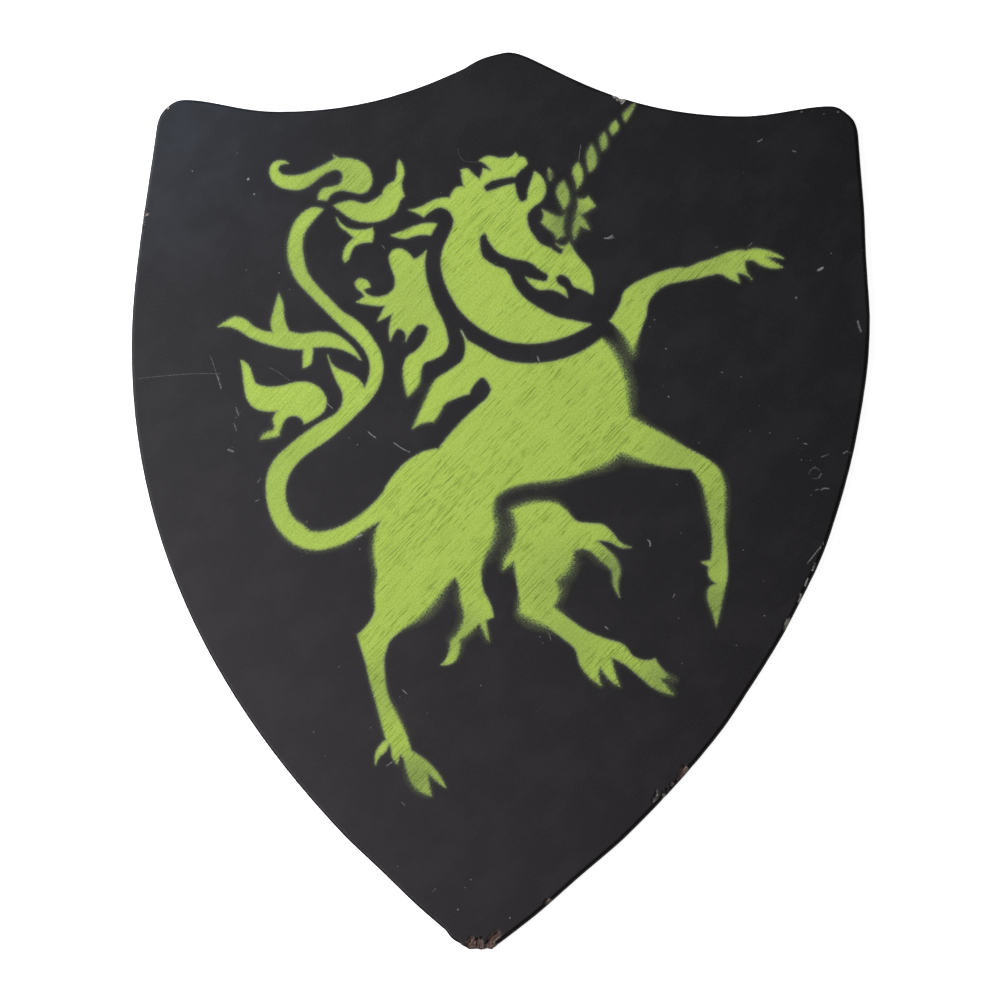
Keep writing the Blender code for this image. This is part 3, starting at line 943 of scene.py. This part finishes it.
def linear(hexColour):
    value = [int(hexColour[i:i + 2], 16) / 255 for i in (1, 3, 5)]
    return [c / 12.92 if c <= 0.04045 else ((c + 0.055) / 1.055) ** 2.4 for c in value] + [1.0]


def addNode(tree, kind, inputs=(), out=None, **settings):
    # Adds a node with its settings, and sets or links its inputs, which come by name or in their
    # order. Gives back the output of that name, or the first of those that the settings leave in use.
    node = tree.nodes.new(kind)
    for name, value in settings.items():
        setattr(node, name, value)
    inUse = [socket for socket in node.inputs if socket.enabled]
    for name, value in (inputs.items() if isinstance(inputs, dict) else enumerate(inputs)):
        socket = node.inputs[name] if isinstance(name, str) else inUse[name]
        if isinstance(value, bpy.types.NodeSocket):
            tree.links.new(value, socket)
        elif isinstance(value, str) and value.startswith("#"):
            socket.default_value = linear(value)
        else:
            socket.default_value = value
    if out:
        return node.outputs[out]
    return next((socket for socket in node.outputs if socket.enabled), None)


# The finishes of the board and its fibres. The scales are along and across the veneer's grain.
# Its fibres and the spray's droplets are a tenth of a millimetre or less, under a quarter of a
# pixel here, so the streaks, grit, speckle and dust are drawn coarse enough to show.
looks = {
    "black": "#0a0808",
    "blackDusty": "#151313",        # dust and rubbing on the black
    "blackSpeck": "#2f2d2d",
    "bluishSheen": "#29323a",        # painted blue-grey sheen in the upper left corner
    "green": "#afcb50",
    "greenThin": "#8ea653",        # thin spray at the edges and tips
    "greenFurrowShadeAndSpeck": "#5f7a1c",        # painted shade in the furrows of the grain, and dark specks
    "greenPoreShade": "#4c6606",        # painted shade down in the open pores
    "lip": "#b9c3a2",        # where the paint stood up against the stencil
    "ridgeHighlightAndSpeck": "#c2d780",        # painted highlight on the ridges of the grain, and pale specks
    "mist": "#6d7a4c",        # the finest spray, which drifted under the stencil
    "scuff": "#a9a9a4",
    "woodBrown": "#765a50",
    "woodGrey": "#77746a",
    "woodPaleAndHighlight": "#bfaca0",        # pale ends of the splinters, partly fresh wood and partly painted highlight
    "woodBleached": "#b0ada2",
    "woodDark": "#120e0d",
    "woodThroughPaint": "#4a3529",        # under the thin coat of the back
    "blackRoughness": 0.42,
    "greenRoughness": 0.60,
    "bareWoodRougher": 0.3,
    "blackGloss": 0.23,
    "greenGloss": 0.12,
    "grainAngle": math.radians(47.5),
    "streakMm": (22.0, 0.55),        # ridges and furrows of the fibres
    "broadStreakMm": (42.0, 2.4),
    "gritMm": (0.6, 0.38),
    "cloudMm": (34.0, 26.0),        # where hands and dust dulled the black
    "speckleMm": (1.0, 0.72),        # droplets at the edge of the spray
    "dustMm": (0.9, 0.8),        # droplets over all of it
    "crowdingMm": (90.0, 35.0),        # how the pores come in drifts
    "pores": (        # cell along and across the grain, length and width, and how many are empty
        {"cellMm": (19.0, 1.7), "poreMm": (17.0, 0.34), "shift": 0.0, "fewest": 0.95, "most": 0.4},
        {"cellMm": (9.0, 1.2), "poreMm": (6.0, 0.34), "shift": 0.3, "fewest": 0.95, "most": 0.5},
    ),
    "edgeWobbleMm": 0.32,        # how far the sprayed edge wanders
    "wobbleMm": (1.7, 1.2),        # length that it wanders over
    "thinShyMm": 1.6,        # thin spray stops this far short of the edge
    "raggedness": (1.5, 4.0),        # of a crisp edge and of a soft one
    "driftMost": 0.5,        # of the mist
    "filledMm": (-110.0, -45.0),        # towards the tail the paint is thicker and fills the pores
    "sheenAcrossMm": (-90.0, -180.0),        # where the painted sheen starts and is full
    "sheenUpMm": (100.0, 215.0),
    "edgePlyMm": 2.2,        # two plies of the sawn side, one pale and one dark
    "endFibresPerMm": (0.9, 0.9, 2.6),        # its end grain, along each axis of the board
}


def grainNoise(tree, sizeMm, detail, shift=0.0):
    # noise drawn out along the face veneer's grain, spread evenly from 0 to 1
    where = addNode(tree, "ShaderNodeTexCoord", out="Object")
    turned = addNode(tree, "ShaderNodeMapping", {
        "Vector": where, "Rotation": (0, 0, looks["grainAngle"]), "Location": (shift * mm, shift * mm, 0),
    }, vector_type="TEXTURE")
    fine = (1 / (sizeMm[0] * mm), 1 / (sizeMm[1] * mm), 1)
    stretched = addNode(tree, "ShaderNodeVectorMath", (turned, fine), operation="MULTIPLY")
    grain = addNode(tree, "ShaderNodeTexNoise", {
        "Vector": stretched, "Scale": 1.0, "Detail": detail, "Roughness": 0.6,
    }, noise_dimensions="2D")
    return addNode(tree, "ShaderNodeMapRange", (grain, 0.30, 0.70))


def openPores(tree):
    # two sizes of pore, each a thin dash round the one point of its own long cell
    where = addNode(tree, "ShaderNodeTexCoord", out="Object")
    crowding = grainNoise(tree, looks["crowdingMm"], 0.0)
    made = []
    for size in looks["pores"]:
        along, across = size["cellMm"]
        length, width = size["poreMm"]
        cellAt = addNode(tree, "ShaderNodeMapping", {
            "Vector": where, "Rotation": (0, 0, looks["grainAngle"]), "Location": (size["shift"], 0, 0),
            "Scale": (along * mm, across * mm, 1),
        }, vector_type="TEXTURE")
        cell = addNode(tree, "ShaderNodeTexVoronoi", {"Vector": cellAt, "Scale": 1.0},
                       voronoi_dimensions="2D").node.outputs
        chance = addNode(tree, "ShaderNodeSeparateColor", (cell["Color"],)).node.outputs
        away = addNode(tree, "ShaderNodeVectorMath", (cellAt, cell["Position"]), operation="SUBTRACT")
        shorter = addNode(tree, "ShaderNodeMapRange", (chance[1], 0, 1, 0.5, 1.3))
        stretch = addNode(tree, "ShaderNodeMath", (2 * along / length, shorter), operation="DIVIDE")
        stretch = addNode(tree, "ShaderNodeCombineXYZ", (stretch, 2 * across / width))
        away = addNode(tree, "ShaderNodeVectorMath", (away, stretch), operation="MULTIPLY")
        away = addNode(tree, "ShaderNodeVectorMath", (away,), operation="LENGTH")
        dash = addNode(tree, "ShaderNodeMapRange", (away, 1.15, 0.7))
        least = addNode(tree, "ShaderNodeMapRange", (crowding, 0.1, 0.9, size["fewest"], size["most"]))
        here = addNode(tree, "ShaderNodeMath", (chance[0], least), operation="GREATER_THAN")
        depth = addNode(tree, "ShaderNodeMapRange", (chance[2], 0, 1, 0.6, 1.0))
        here = addNode(tree, "ShaderNodeMath", (here, depth), operation="MULTIPLY")
        made.append(addNode(tree, "ShaderNodeMath", (dash, here), operation="MULTIPLY"))
    return addNode(tree, "ShaderNodeMath", made, operation="MAXIMUM")


def layered(tree, colour, layers):
    # Lays colours over the first one, in their order. Each layer names the value that it follows,
    # where on that value it starts and is full, its share when full, and its colour.
    for follows, start, full, most, over in layers:
        share = addNode(tree, "ShaderNodeMapRange", (follows, start, full, 0.0, most))
        colour = addNode(tree, "ShaderNodeMix", (share, colour, over), data_type="RGBA")
    return colour


def emptyMaterial(name, *fields):
    # a material without a shader yet, its nodes, and the fields that it reads off the mesh
    material = bpy.data.materials.new(name)
    material.use_nodes = True
    tree = material.node_tree
    tree.nodes.clear()
    read = {field: addNode(tree, "ShaderNodeAttribute", out="Fac", attribute_name=field) for field in fields}
    return material, tree, read


def tornWood(tree, read):
    # brown or grey fibres, bleached ones in old chips, with painted shade in the cracks between them and
    # pale ends that are partly painted highlight
    fibre, brown = read["fibre"], read["brownWood"]
    colour = layered(tree, looks["woodGrey"], (
        (brown, 0, 1, 1.0, looks["woodBrown"]),
        (fibre, 0.62, 0.9, 0.8, looks["woodPaleAndHighlight"]),
        (brown, -0.1, -0.6, 1.0, looks["woodBleached"]),
    ))
    # painted shade in the cracks between the fibres
    crackShadeTo = addNode(tree, "ShaderNodeMapRange", (brown, 0, 1, 0.72, 0.32))
    fewer = addNode(tree, "ShaderNodeMapRange", (brown, -0.1, -0.6, 1, 0.45))
    crackShadeTo = addNode(tree, "ShaderNodeMath", (crackShadeTo, fewer), operation="MULTIPLY")
    crackShadeFrom = addNode(tree, "ShaderNodeMath", (crackShadeTo, -0.22), operation="ADD")
    return layered(tree, colour, ((fibre, crackShadeTo, crackShadeFrom, 0.95, looks["woodDark"]),))


def sprayedLauan():
    # Lauan plywood under brushed black paint, with a lime green sprayed over it through a stencil.
    # The eye gets a satin black with a painted blue-grey sheen in one corner, and a dull green with
    # painted shade in the open pores and painted light and shade on its grain, thin on the figure's
    # far ends, and crisp or misty at its edge as the stencil lay flat or stood off.
    material, tree, read = emptyMaterial("sprayedLauanPlywood", "sprayMm", "softMm", "thin", "scuff",
                                         "bareWood", "brownWood", "fibre")
    soft, thin = read["softMm"], read["thin"]
    streak = grainNoise(tree, looks["streakMm"], 2.0)
    broad = grainNoise(tree, looks["broadStreakMm"], 3.0)
    grit = grainNoise(tree, looks["gritMm"], 2.0)
    cloud = grainNoise(tree, looks["cloudMm"], 4.0)
    dust = grainNoise(tree, looks["dustMm"], 1.0, 9.0)
    where = addNode(tree, "ShaderNodeTexCoord", out="Object")
    where = addNode(tree, "ShaderNodeSeparateXYZ", (where,)).node.outputs
    filledFrom, filledTo = (x * mm for x in looks["filledMm"])
    unfilled = addNode(tree, "ShaderNodeMapRange", (where["X"], filledFrom, filledTo, 0.35, 1.0))
    pore = addNode(tree, "ShaderNodeMath", (openPores(tree), unfilled), operation="MULTIPLY")

    # how far the spray reached: full inside the opening, less where it was thin
    wobble = grainNoise(tree, looks["wobbleMm"], 1.0)
    wobble = addNode(tree, "ShaderNodeMath", (wobble, 0.5), operation="SUBTRACT")
    inside = addNode(tree, "ShaderNodeMath", (wobble, looks["edgeWobbleMm"], read["sprayMm"]),
                     operation="MULTIPLY_ADD")
    shy = addNode(tree, "ShaderNodeMath", (thin, -looks["thinShyMm"], inside), operation="MULTIPLY_ADD")
    reach = addNode(tree, "ShaderNodeMath", (shy, soft), operation="DIVIDE")
    reached = addNode(tree, "ShaderNodeMapRange", (reach, -1.1, 0.9), interpolation_type="SMOOTHSTEP")

    # its edge is broken up by the fibres and by its own droplets, most where it is soft
    speckle = grainNoise(tree, looks["speckleMm"], 2.0)
    fromStreak = addNode(tree, "ShaderNodeMath", (streak, 0.2), operation="MULTIPLY")
    speckle = addNode(tree, "ShaderNodeMath", (speckle, 0.8, fromStreak), operation="MULTIPLY_ADD")
    speckle = addNode(tree, "ShaderNodeMath", (speckle, 0.5), operation="SUBTRACT")
    unreached = addNode(tree, "ShaderNodeMath", (1.0, reached), operation="SUBTRACT")
    unsure = addNode(tree, "ShaderNodeMath", (reached, unreached), operation="MULTIPLY")
    ragged = addNode(tree, "ShaderNodeMapRange", (soft, 0.9, 2.2, *looks["raggedness"]))
    unsure = addNode(tree, "ShaderNodeMath", (unsure, ragged), operation="MULTIPLY")
    cover = addNode(tree, "ShaderNodeMath", (speckle, unsure, reached), operation="MULTIPLY_ADD")
    cover = addNode(tree, "ShaderNodeMapRange", (cover, 0.12, 0.88))
    missed = addNode(tree, "ShaderNodeMath", (grit, 0.4), operation="ADD")
    missed = addNode(tree, "ShaderNodeMath", (thin, missed), operation="MULTIPLY")
    kept = addNode(tree, "ShaderNodeMath", (1.0, missed), operation="SUBTRACT")
    cover = addNode(tree, "ShaderNodeMath", (cover, kept), operation="MULTIPLY")

    # the mist that drifted on under the stencil
    drift = addNode(tree, "ShaderNodeMath", (read["sprayMm"], soft), operation="DIVIDE")
    drift = addNode(tree, "ShaderNodeMapRange", (drift, -2.4, 0.2, 0, looks["driftMost"]),
                    interpolation_type="SMOOTHSTEP")
    softer = addNode(tree, "ShaderNodeMapRange", (soft, 0.7, 3.0, 0.25, 1.0))
    drift = addNode(tree, "ShaderNodeMath", (drift, softer), operation="MULTIPLY")
    patchy = addNode(tree, "ShaderNodeMapRange", (speckle, -0.35, 0.35, 0.3, 1.5))
    drift = addNode(tree, "ShaderNodeMath", (drift, patchy), operation="MULTIPLY")

    # a painted blue-grey sheen lies in blotches over the upper left corner
    acrossFrom, acrossTo = (x * mm for x in looks["sheenAcrossMm"])
    cornerSheen = addNode(tree, "ShaderNodeMapRange", (where["X"], acrossFrom, acrossTo))
    upFrom, upTo = (y * mm for y in looks["sheenUpMm"])
    upper = addNode(tree, "ShaderNodeMapRange", (where["Y"], upFrom, upTo))
    cornerSheen = addNode(tree, "ShaderNodeMath", (cornerSheen, upper), operation="MULTIPLY")
    sheenBlotches = addNode(tree, "ShaderNodeMapRange", (cloud, 0.2, 0.9, 0.3, 0.6))
    cornerSheen = addNode(tree, "ShaderNodeMath", (cornerSheen, sheenBlotches), operation="MULTIPLY")

    black = layered(tree, looks["black"], (
        (cloud, 0.35, 0.85, 1.0, looks["blackDusty"]),
        (dust, 0.7, 1.0, 0.3, looks["blackSpeck"]),
        # the painted sheen over the upper left corner
        (cornerSheen, 0, 1, 1.0, looks["bluishSheen"]),
        (drift, 0, 1, 1.0, looks["mist"]),
    ))
    green = layered(tree, looks["greenThin"], (
        (read["sprayMm"], -0.4, 1.5, 1.0, looks["green"]),
        (thin, 0, 1 / 2.2, 1.0, looks["greenThin"]),
        # partly the grain's own tone, partly painted highlight on its ridges and painted shade in its
        # furrows
        (streak, 0.5, 1.0, 0.16, looks["ridgeHighlightAndSpeck"]),
        (streak, 0.45, 0.0, 0.28, looks["greenFurrowShadeAndSpeck"]),
        (broad, 0.5, 0.0, 0.10, looks["greenFurrowShadeAndSpeck"]),
        (dust, 0.5, 0.0, 0.26, looks["greenFurrowShadeAndSpeck"]),
        (dust, 0.5, 1.0, 0.34, looks["ridgeHighlightAndSpeck"]),
        # painted shade in the open pores
        (pore, 0, 1, 0.85, looks["greenPoreShade"]),
    ))

    # a thin lip stands where the stencil's crisp edge was
    lip = addNode(tree, "ShaderNodeMath", (inside, 0.1), operation="ADD")
    lip = addNode(tree, "ShaderNodeMath", (lip,), operation="ABSOLUTE")
    lip = addNode(tree, "ShaderNodeMapRange", (lip, 0.6, 0.0, 0, 0.15))
    crisp = addNode(tree, "ShaderNodeMapRange", (soft, 1.6, 0.9))
    lip = addNode(tree, "ShaderNodeMath", (lip, crisp), operation="MULTIPLY")
    scrapedAndShaded = addNode(tree, "ShaderNodeMath", (grit, dust), operation="ADD")
    scrapedAndShaded = addNode(tree, "ShaderNodeMapRange", (scrapedAndShaded, 0.4, 1.4, 0.35, 1.4))
    scrapedAndShaded = addNode(tree, "ShaderNodeMath", (read["scuff"], scrapedAndShaded), operation="MULTIPLY")
    colour = layered(tree, black, (
        (cover, 0, 1, 1.0, green),
        (lip, 0, 1, 1.0, looks["lip"]),
        (read["bareWood"], 0, 1, 1.0, tornWood(tree, read)),
        (scrapedAndShaded, 0.08, 0.9, 0.8, looks["scuff"]),
        # dark lines, among them the painted shade along the tears and chips
        (scrapedAndShaded, -0.05, -0.8, 0.75, looks["black"]),
    ))

    rough = addNode(tree, "ShaderNodeMapRange", (
        cover, 0, 1, looks["blackRoughness"], looks["greenRoughness"],
    ))
    rough = addNode(tree, "ShaderNodeMath", (read["bareWood"], looks["bareWoodRougher"], rough),
                    operation="MULTIPLY_ADD")
    shine = addNode(tree, "ShaderNodeMapRange", (cover, 0, 1, looks["blackGloss"], looks["greenGloss"]))
    relief = addNode(tree, "ShaderNodeMath", (streak, 0.5), operation="MULTIPLY")
    relief = addNode(tree, "ShaderNodeMath", (relief, pore), operation="SUBTRACT")
    bump = addNode(tree, "ShaderNodeBump", {"Height": relief, "Strength": 0.2, "Distance": 0.06 * mm})
    shader = addNode(tree, "ShaderNodeBsdfPrincipled", {
        "Base Color": colour, "Roughness": rough, "Normal": bump, "Specular IOR Level": shine,
    })
    addNode(tree, "ShaderNodeOutputMaterial", (shader,))
    return material


def soakedEdge():
    # The sawn side, where the end grain drank the black paint: dead matt, with the plies just
    # showing as paler lines and bare wood where it broke.
    material, tree, read = emptyMaterial("blackSoakedPlyEdge", "bareWood", "brownWood", "fibre")
    where = addNode(tree, "ShaderNodeTexCoord", out="Object")
    perMetre = [count / mm for count in looks["endFibresPerMm"]]
    fibreAt = addNode(tree, "ShaderNodeMapping", {"Vector": where, "Scale": perMetre})
    fibre = addNode(tree, "ShaderNodeTexNoise", {
        "Vector": fibreAt, "Scale": 1.0, "Detail": 3.0, "Roughness": 0.65,
    })
    height = addNode(tree, "ShaderNodeSeparateXYZ", (where,), out="Z")
    turnPerMetre = 2 * math.pi / (looks["edgePlyMm"] * mm)
    ply = addNode(tree, "ShaderNodeMath", (height, turnPerMetre), operation="MULTIPLY")
    ply = addNode(tree, "ShaderNodeMath", (ply,), operation="SINE")
    black = layered(tree, looks["black"], ((ply, -1, 1, 0.6, looks["blackDusty"]),))
    broken = layered(tree, tornWood(tree, read), (
        (ply, -1, 1, 0.6, looks["woodDark"]),
        (fibre, 0.52, 0.38, 0.85, looks["woodDark"]),
    ))
    colour = layered(tree, black, ((read["bareWood"], 0, 1, 1.0, broken),))
    bump = addNode(tree, "ShaderNodeBump", {"Height": fibre, "Strength": 0.5, "Distance": 0.15 * mm})
    shader = addNode(tree, "ShaderNodeBsdfPrincipled", {
        "Base Color": colour, "Roughness": 0.9, "Normal": bump, "Specular IOR Level": 0.12,
    })
    addNode(tree, "ShaderNodeOutputMaterial", (shader,))
    return material


def brushedBack():
    # The back, guessed: one thin brushed coat of the same black, with the veneer's warm brown
    # just showing along its grain.
    material, tree, _ = emptyMaterial("thinBrushedBlackBack")
    backShift = 40.0        # so that its grain isn't the front's
    streak = grainNoise(tree, looks["streakMm"], 3.0, backShift)
    broad = grainNoise(tree, looks["broadStreakMm"], 3.0, backShift)
    cloud = grainNoise(tree, looks["cloudMm"], 3.0, backShift)
    pore = openPores(tree)
    worn = addNode(tree, "ShaderNodeMath", (broad, cloud), operation="ADD")
    worn = addNode(tree, "ShaderNodeMath", (streak, worn), operation="MULTIPLY")
    colour = layered(tree, looks["black"], (
        (worn, 0.35, 1.4, 0.5, looks["woodThroughPaint"]),
        (pore, 0, 1, 0.7, looks["woodDark"]),
    ))
    relief = addNode(tree, "ShaderNodeMath", (streak, 0.6), operation="MULTIPLY")
    relief = addNode(tree, "ShaderNodeMath", (relief, pore), operation="SUBTRACT")
    bump = addNode(tree, "ShaderNodeBump", {"Height": relief, "Strength": 0.3, "Distance": 0.1 * mm})
    shader = addNode(tree, "ShaderNodeBsdfPrincipled", {
        "Base Color": colour, "Roughness": 0.6, "Normal": bump,
    })
    addNode(tree, "ShaderNodeOutputMaterial", (shader,))
    return material


board = makeBoard()
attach(board, "root")
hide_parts("shield_board")
print("board done")

tornFibre = {
    "perSquareMm": 2.4,
    "lengthMm": (0.8, 2.4),
    "thickMm": (0.10, 0.24),
    "lift": (math.radians(4), math.radians(22)),        # off the floor of the tear
    "stray": math.radians(9),        # either side of the grain
    "floorBelowMm": 0.25,        # a place counts as torn from this far under the face
    "seed": 11,
}


def tornFibreMaterial():
    # Single fibres and splinters of the veneer, raw where they tore: matt, from brown to pale.
    material, tree, read = emptyMaterial("tornLauanFibres", "tone", "brownWood")
    grain = grainNoise(tree, looks["gritMm"], 2.0)
    colour = layered(tree, looks["woodGrey"], (
        (read["brownWood"], 0, 1, 1.0, looks["woodBrown"]),
        (read["tone"], 0.35, 1.0, 0.75, looks["woodPaleAndHighlight"]),
        (read["tone"], 0.25, 0.0, 0.7, looks["woodDark"]),
        (grain, 0.5, 0.0, 0.5, looks["woodDark"]),
    ))
    shader = addNode(tree, "ShaderNodeBsdfPrincipled", {
        "Base Color": colour, "Roughness": 0.85, "Specular IOR Level": 0.2,
    })
    addNode(tree, "ShaderNodeOutputMaterial", (shader,))
    return material


def tornFibreScatter(material):
    # thin four-sided splinters over the torn faces, lying along the grain and lifted a little
    tree = bpy.data.node_groups.new("tornFibreScatter", "GeometryNodeTree")
    for name, kind in (("Torn Faces", "NodeSocketGeometry"), ("Per Square Metre", "NodeSocketFloat"),
                       ("Seed", "NodeSocketInt")):
        tree.interface.new_socket(name, in_out="INPUT", socket_type=kind)
    tree.interface.new_socket("Fibres", in_out="OUTPUT", socket_type="NodeSocketGeometry")
    given = addNode(tree, "NodeGroupInput").node.outputs
    upright = math.pi / 2
    chance = {
        "stray": (-tornFibre["stray"], tornFibre["stray"]),
        "tilt": (upright - tornFibre["lift"][1], upright - tornFibre["lift"][0]),
        "thick": (tornFibre["thickMm"][0] * mm, tornFibre["thickMm"][1] * mm),
        "length": (tornFibre["lengthMm"][0] * mm, tornFibre["lengthMm"][1] * mm),
        "tone": (0.0, 1.0),
    }
    for shift, (name, (low, high)) in enumerate(list(chance.items()), 1):
        seed = addNode(tree, "ShaderNodeMath", (given["Seed"], shift), operation="ADD")
        chance[name] = addNode(tree, "FunctionNodeRandomValue", {"Min": low, "Max": high, "Seed": seed},
                               data_type="FLOAT")
    points = addNode(tree, "GeometryNodeDistributePointsOnFaces", {
        "Mesh": given["Torn Faces"], "Density": given["Per Square Metre"], "Seed": given["Seed"],
    })
    turn = addNode(tree, "GeometryNodeInputNamedAttribute", {"Name": "grainTurn"}, data_type="FLOAT")
    turn = addNode(tree, "ShaderNodeMath", (turn, math.pi), operation="ADD")
    turn = addNode(tree, "ShaderNodeMath", (turn, chance["stray"]), operation="ADD")
    euler = addNode(tree, "ShaderNodeCombineXYZ", (0.0, chance["tilt"], turn))
    rotation = addNode(tree, "FunctionNodeEulerToRotation", (euler,))
    size = addNode(tree, "ShaderNodeCombineXYZ", (chance["thick"], chance["thick"], chance["length"]))
    sliver = addNode(tree, "GeometryNodeMeshCone", {
        "Vertices": 4, "Radius Top": 0.12, "Radius Bottom": 0.5, "Depth": 1.0,
    })
    placed = addNode(tree, "GeometryNodeInstanceOnPoints", {
        "Points": points, "Instance": sliver, "Rotation": rotation, "Scale": size,
    })
    toned = addNode(tree, "GeometryNodeStoreNamedAttribute", {
        "Geometry": placed, "Name": "tone", "Value": chance["tone"],
    }, data_type="FLOAT", domain="INSTANCE")
    whole = addNode(tree, "GeometryNodeRealizeInstances", (toned,))
    finished = addNode(tree, "GeometryNodeSetMaterial", {"Geometry": whole, "Material": material})
    addNode(tree, "NodeGroupOutput", {"Fibres": finished})
    return tree


def makeTornFibres():
    # the torn faces are copied off the board, and the splinters are scattered over them
    build = bmesh.new()
    build.from_mesh(board.data)
    bare = build.verts.layers.float["bareWood"]
    floor = boardTop - tornFibre["floorBelowMm"] * mm
    others = [f for f in build.faces if f.normal.z < 0.3
              or not all(v[bare] > 0.8 and boardTop / 3 < v.co.z < floor for v in f.verts)]
    bmesh.ops.delete(build, geom=others, context="FACES")
    torn = bpy.data.meshes.new("tornFaces")
    build.to_mesh(torn)
    build.free()
    print("torn faces:", len(torn.polygons))
    carrier = bpy.data.objects.new("tornFaces", torn)
    bpy.context.scene.collection.objects.link(carrier)
    group = tornFibreScatter(tornFibreMaterial())
    scatter = carrier.modifiers.new("tornFibreScatter", "NODES")
    scatter.node_group = group
    values = {"Per Square Metre": tornFibre["perSquareMm"] * 1e6, "Seed": tornFibre["seed"]}
    for item in group.interface.items_tree:
        if item.item_type == "SOCKET" and item.in_out == "INPUT" and item.name in values:
            scatter[item.identifier] = values[item.name]
    evaluated = carrier.evaluated_get(bpy.context.evaluated_depsgraph_get())
    mesh = bpy.data.meshes.new_from_object(evaluated)
    mesh.name = "tornFibres"
    for vert in mesh.vertices:
        vert.co.y = max(vert.co.y, boardFoot + 0.05 * mm)
        vert.co.z = min(vert.co.z, boardTop - 0.02 * mm)
    fibres = bpy.data.objects.new("tornFibres", mesh)
    bpy.context.scene.collection.objects.link(fibres)
    bpy.data.objects.remove(carrier)
    print("torn fibres:", len(mesh.polygons), "faces")
    return fibres


fibres = makeTornFibres()
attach(fibres, "root")
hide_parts("shield_board")

studio = {
    "aim": (3.47 * mm, -0.37 * mm),        # the board's point in the middle of the picture
    "towardCamera": (0.1466, -0.1473, 0.9782),        # a little from the board's lower right
    "distance": 20.0,        # far off, because the photo shows next to no perspective
    "halfField": 0.2756,
    "roll": 0.0337,        # radians, as the photo was held
    "sensorMm": 36.0,
    "floorReach": 6.0,
    "floorWhite": "#f7f7f7",
    "floorGlow": 0.92,
    "airRise": (0.85, 0.60),        # how steeply up the air is darkest, and brightest
    "airOverhead": 0.02,
    "airAround": 0.14,
    "lamps": {        # place, width, length, power in watts and tint
        "windowLeft": ((-0.95, 0.50, 0.85), 0.55, 1.2, 19.4, "#eaf2ff"),
        "wallLeft": ((-0.60, -0.14, 1.25), 0.30, 0.30, 7.8, "#fff1f8"),
    },
}


def setStage():
    reach = studio["floorReach"]
    floorMesh = bpy.data.meshes.new("studioFloor")
    floorMesh.from_pydata([(-reach, -reach, 0), (reach, -reach, 0), (reach, reach, 0), (-reach, reach, 0)],
                          [], [(0, 1, 2, 3)])
    floor = bpy.data.objects.new("studioFloor", floorMesh)
    floor.location.z = boardLow.z - 0.2 * mm        # just clear of the back
    bpy.context.scene.collection.objects.link(floor)
    material, tree, _ = emptyMaterial("whitePaperFloor")
    shader = addNode(tree, "ShaderNodeBsdfPrincipled", {
        "Base Color": studio["floorWhite"], "Roughness": 1.0, "Specular IOR Level": 0.0,
        "Emission Color": "#ffffff", "Emission Strength": studio["floorGlow"],
    })
    addNode(tree, "ShaderNodeOutputMaterial", (shader,))
    floorMesh.materials.append(material)

    # the air is bright low down all round and dark overhead, where the paint would mirror it
    world = bpy.data.worlds.new("studioAir")
    bpy.context.scene.world = world
    world.use_nodes = True
    tree = world.node_tree
    tree.nodes.clear()
    way = addNode(tree, "ShaderNodeTexCoord", out="Generated")
    rise = addNode(tree, "ShaderNodeSeparateXYZ", (way,), out="Z")
    darkest, brightest = studio["airRise"]
    light = addNode(tree, "ShaderNodeMapRange", (
        rise, darkest, brightest, studio["airOverhead"], studio["airAround"],
    ), interpolation_type="SMOOTHSTEP")
    background = addNode(tree, "ShaderNodeBackground", {"Color": "#ffffff", "Strength": light})
    addNode(tree, "ShaderNodeOutputWorld", (background,))

    for name, (place, width, length, power, tint) in studio["lamps"].items():
        lamp = bpy.data.lights.new(name, "AREA")
        lamp.shape = "RECTANGLE"
        lamp.size = width
        lamp.size_y = length
        lamp.energy = power
        lamp.color = linear(tint)[:3]
        made = bpy.data.objects.new(name, lamp)
        made.location = place
        made.rotation_euler = (-Vector(place)).to_track_quat("-Z", "Y").to_euler()
        bpy.context.scene.collection.objects.link(made)

    camera = bpy.data.cameras.new("photoCamera")
    camera.sensor_width = studio["sensorMm"]
    camera.lens = studio["sensorMm"] / 2 * studio["distance"] / studio["halfField"]
    camera.clip_end = 2 * studio["distance"]
    seen = bpy.data.objects.new("photoCamera", camera)
    back = Vector(studio["towardCamera"]).normalized()
    right = Vector((0, 1, 0)).cross(back).normalized()
    turned = Matrix((right, back.cross(right), back)).transposed() @ Matrix.Rotation(studio["roll"], 3, "Z")
    place = Vector((*studio["aim"], boardTop)) + back * studio["distance"]
    seen.matrix_world = Matrix.LocRotScale(place, turned.to_quaternion(), None)
    bpy.context.scene.collection.objects.link(seen)
    bpy.context.scene.camera = seen
    bpy.context.scene.view_settings.view_transform = "Standard"


setStage()
print("stage done")
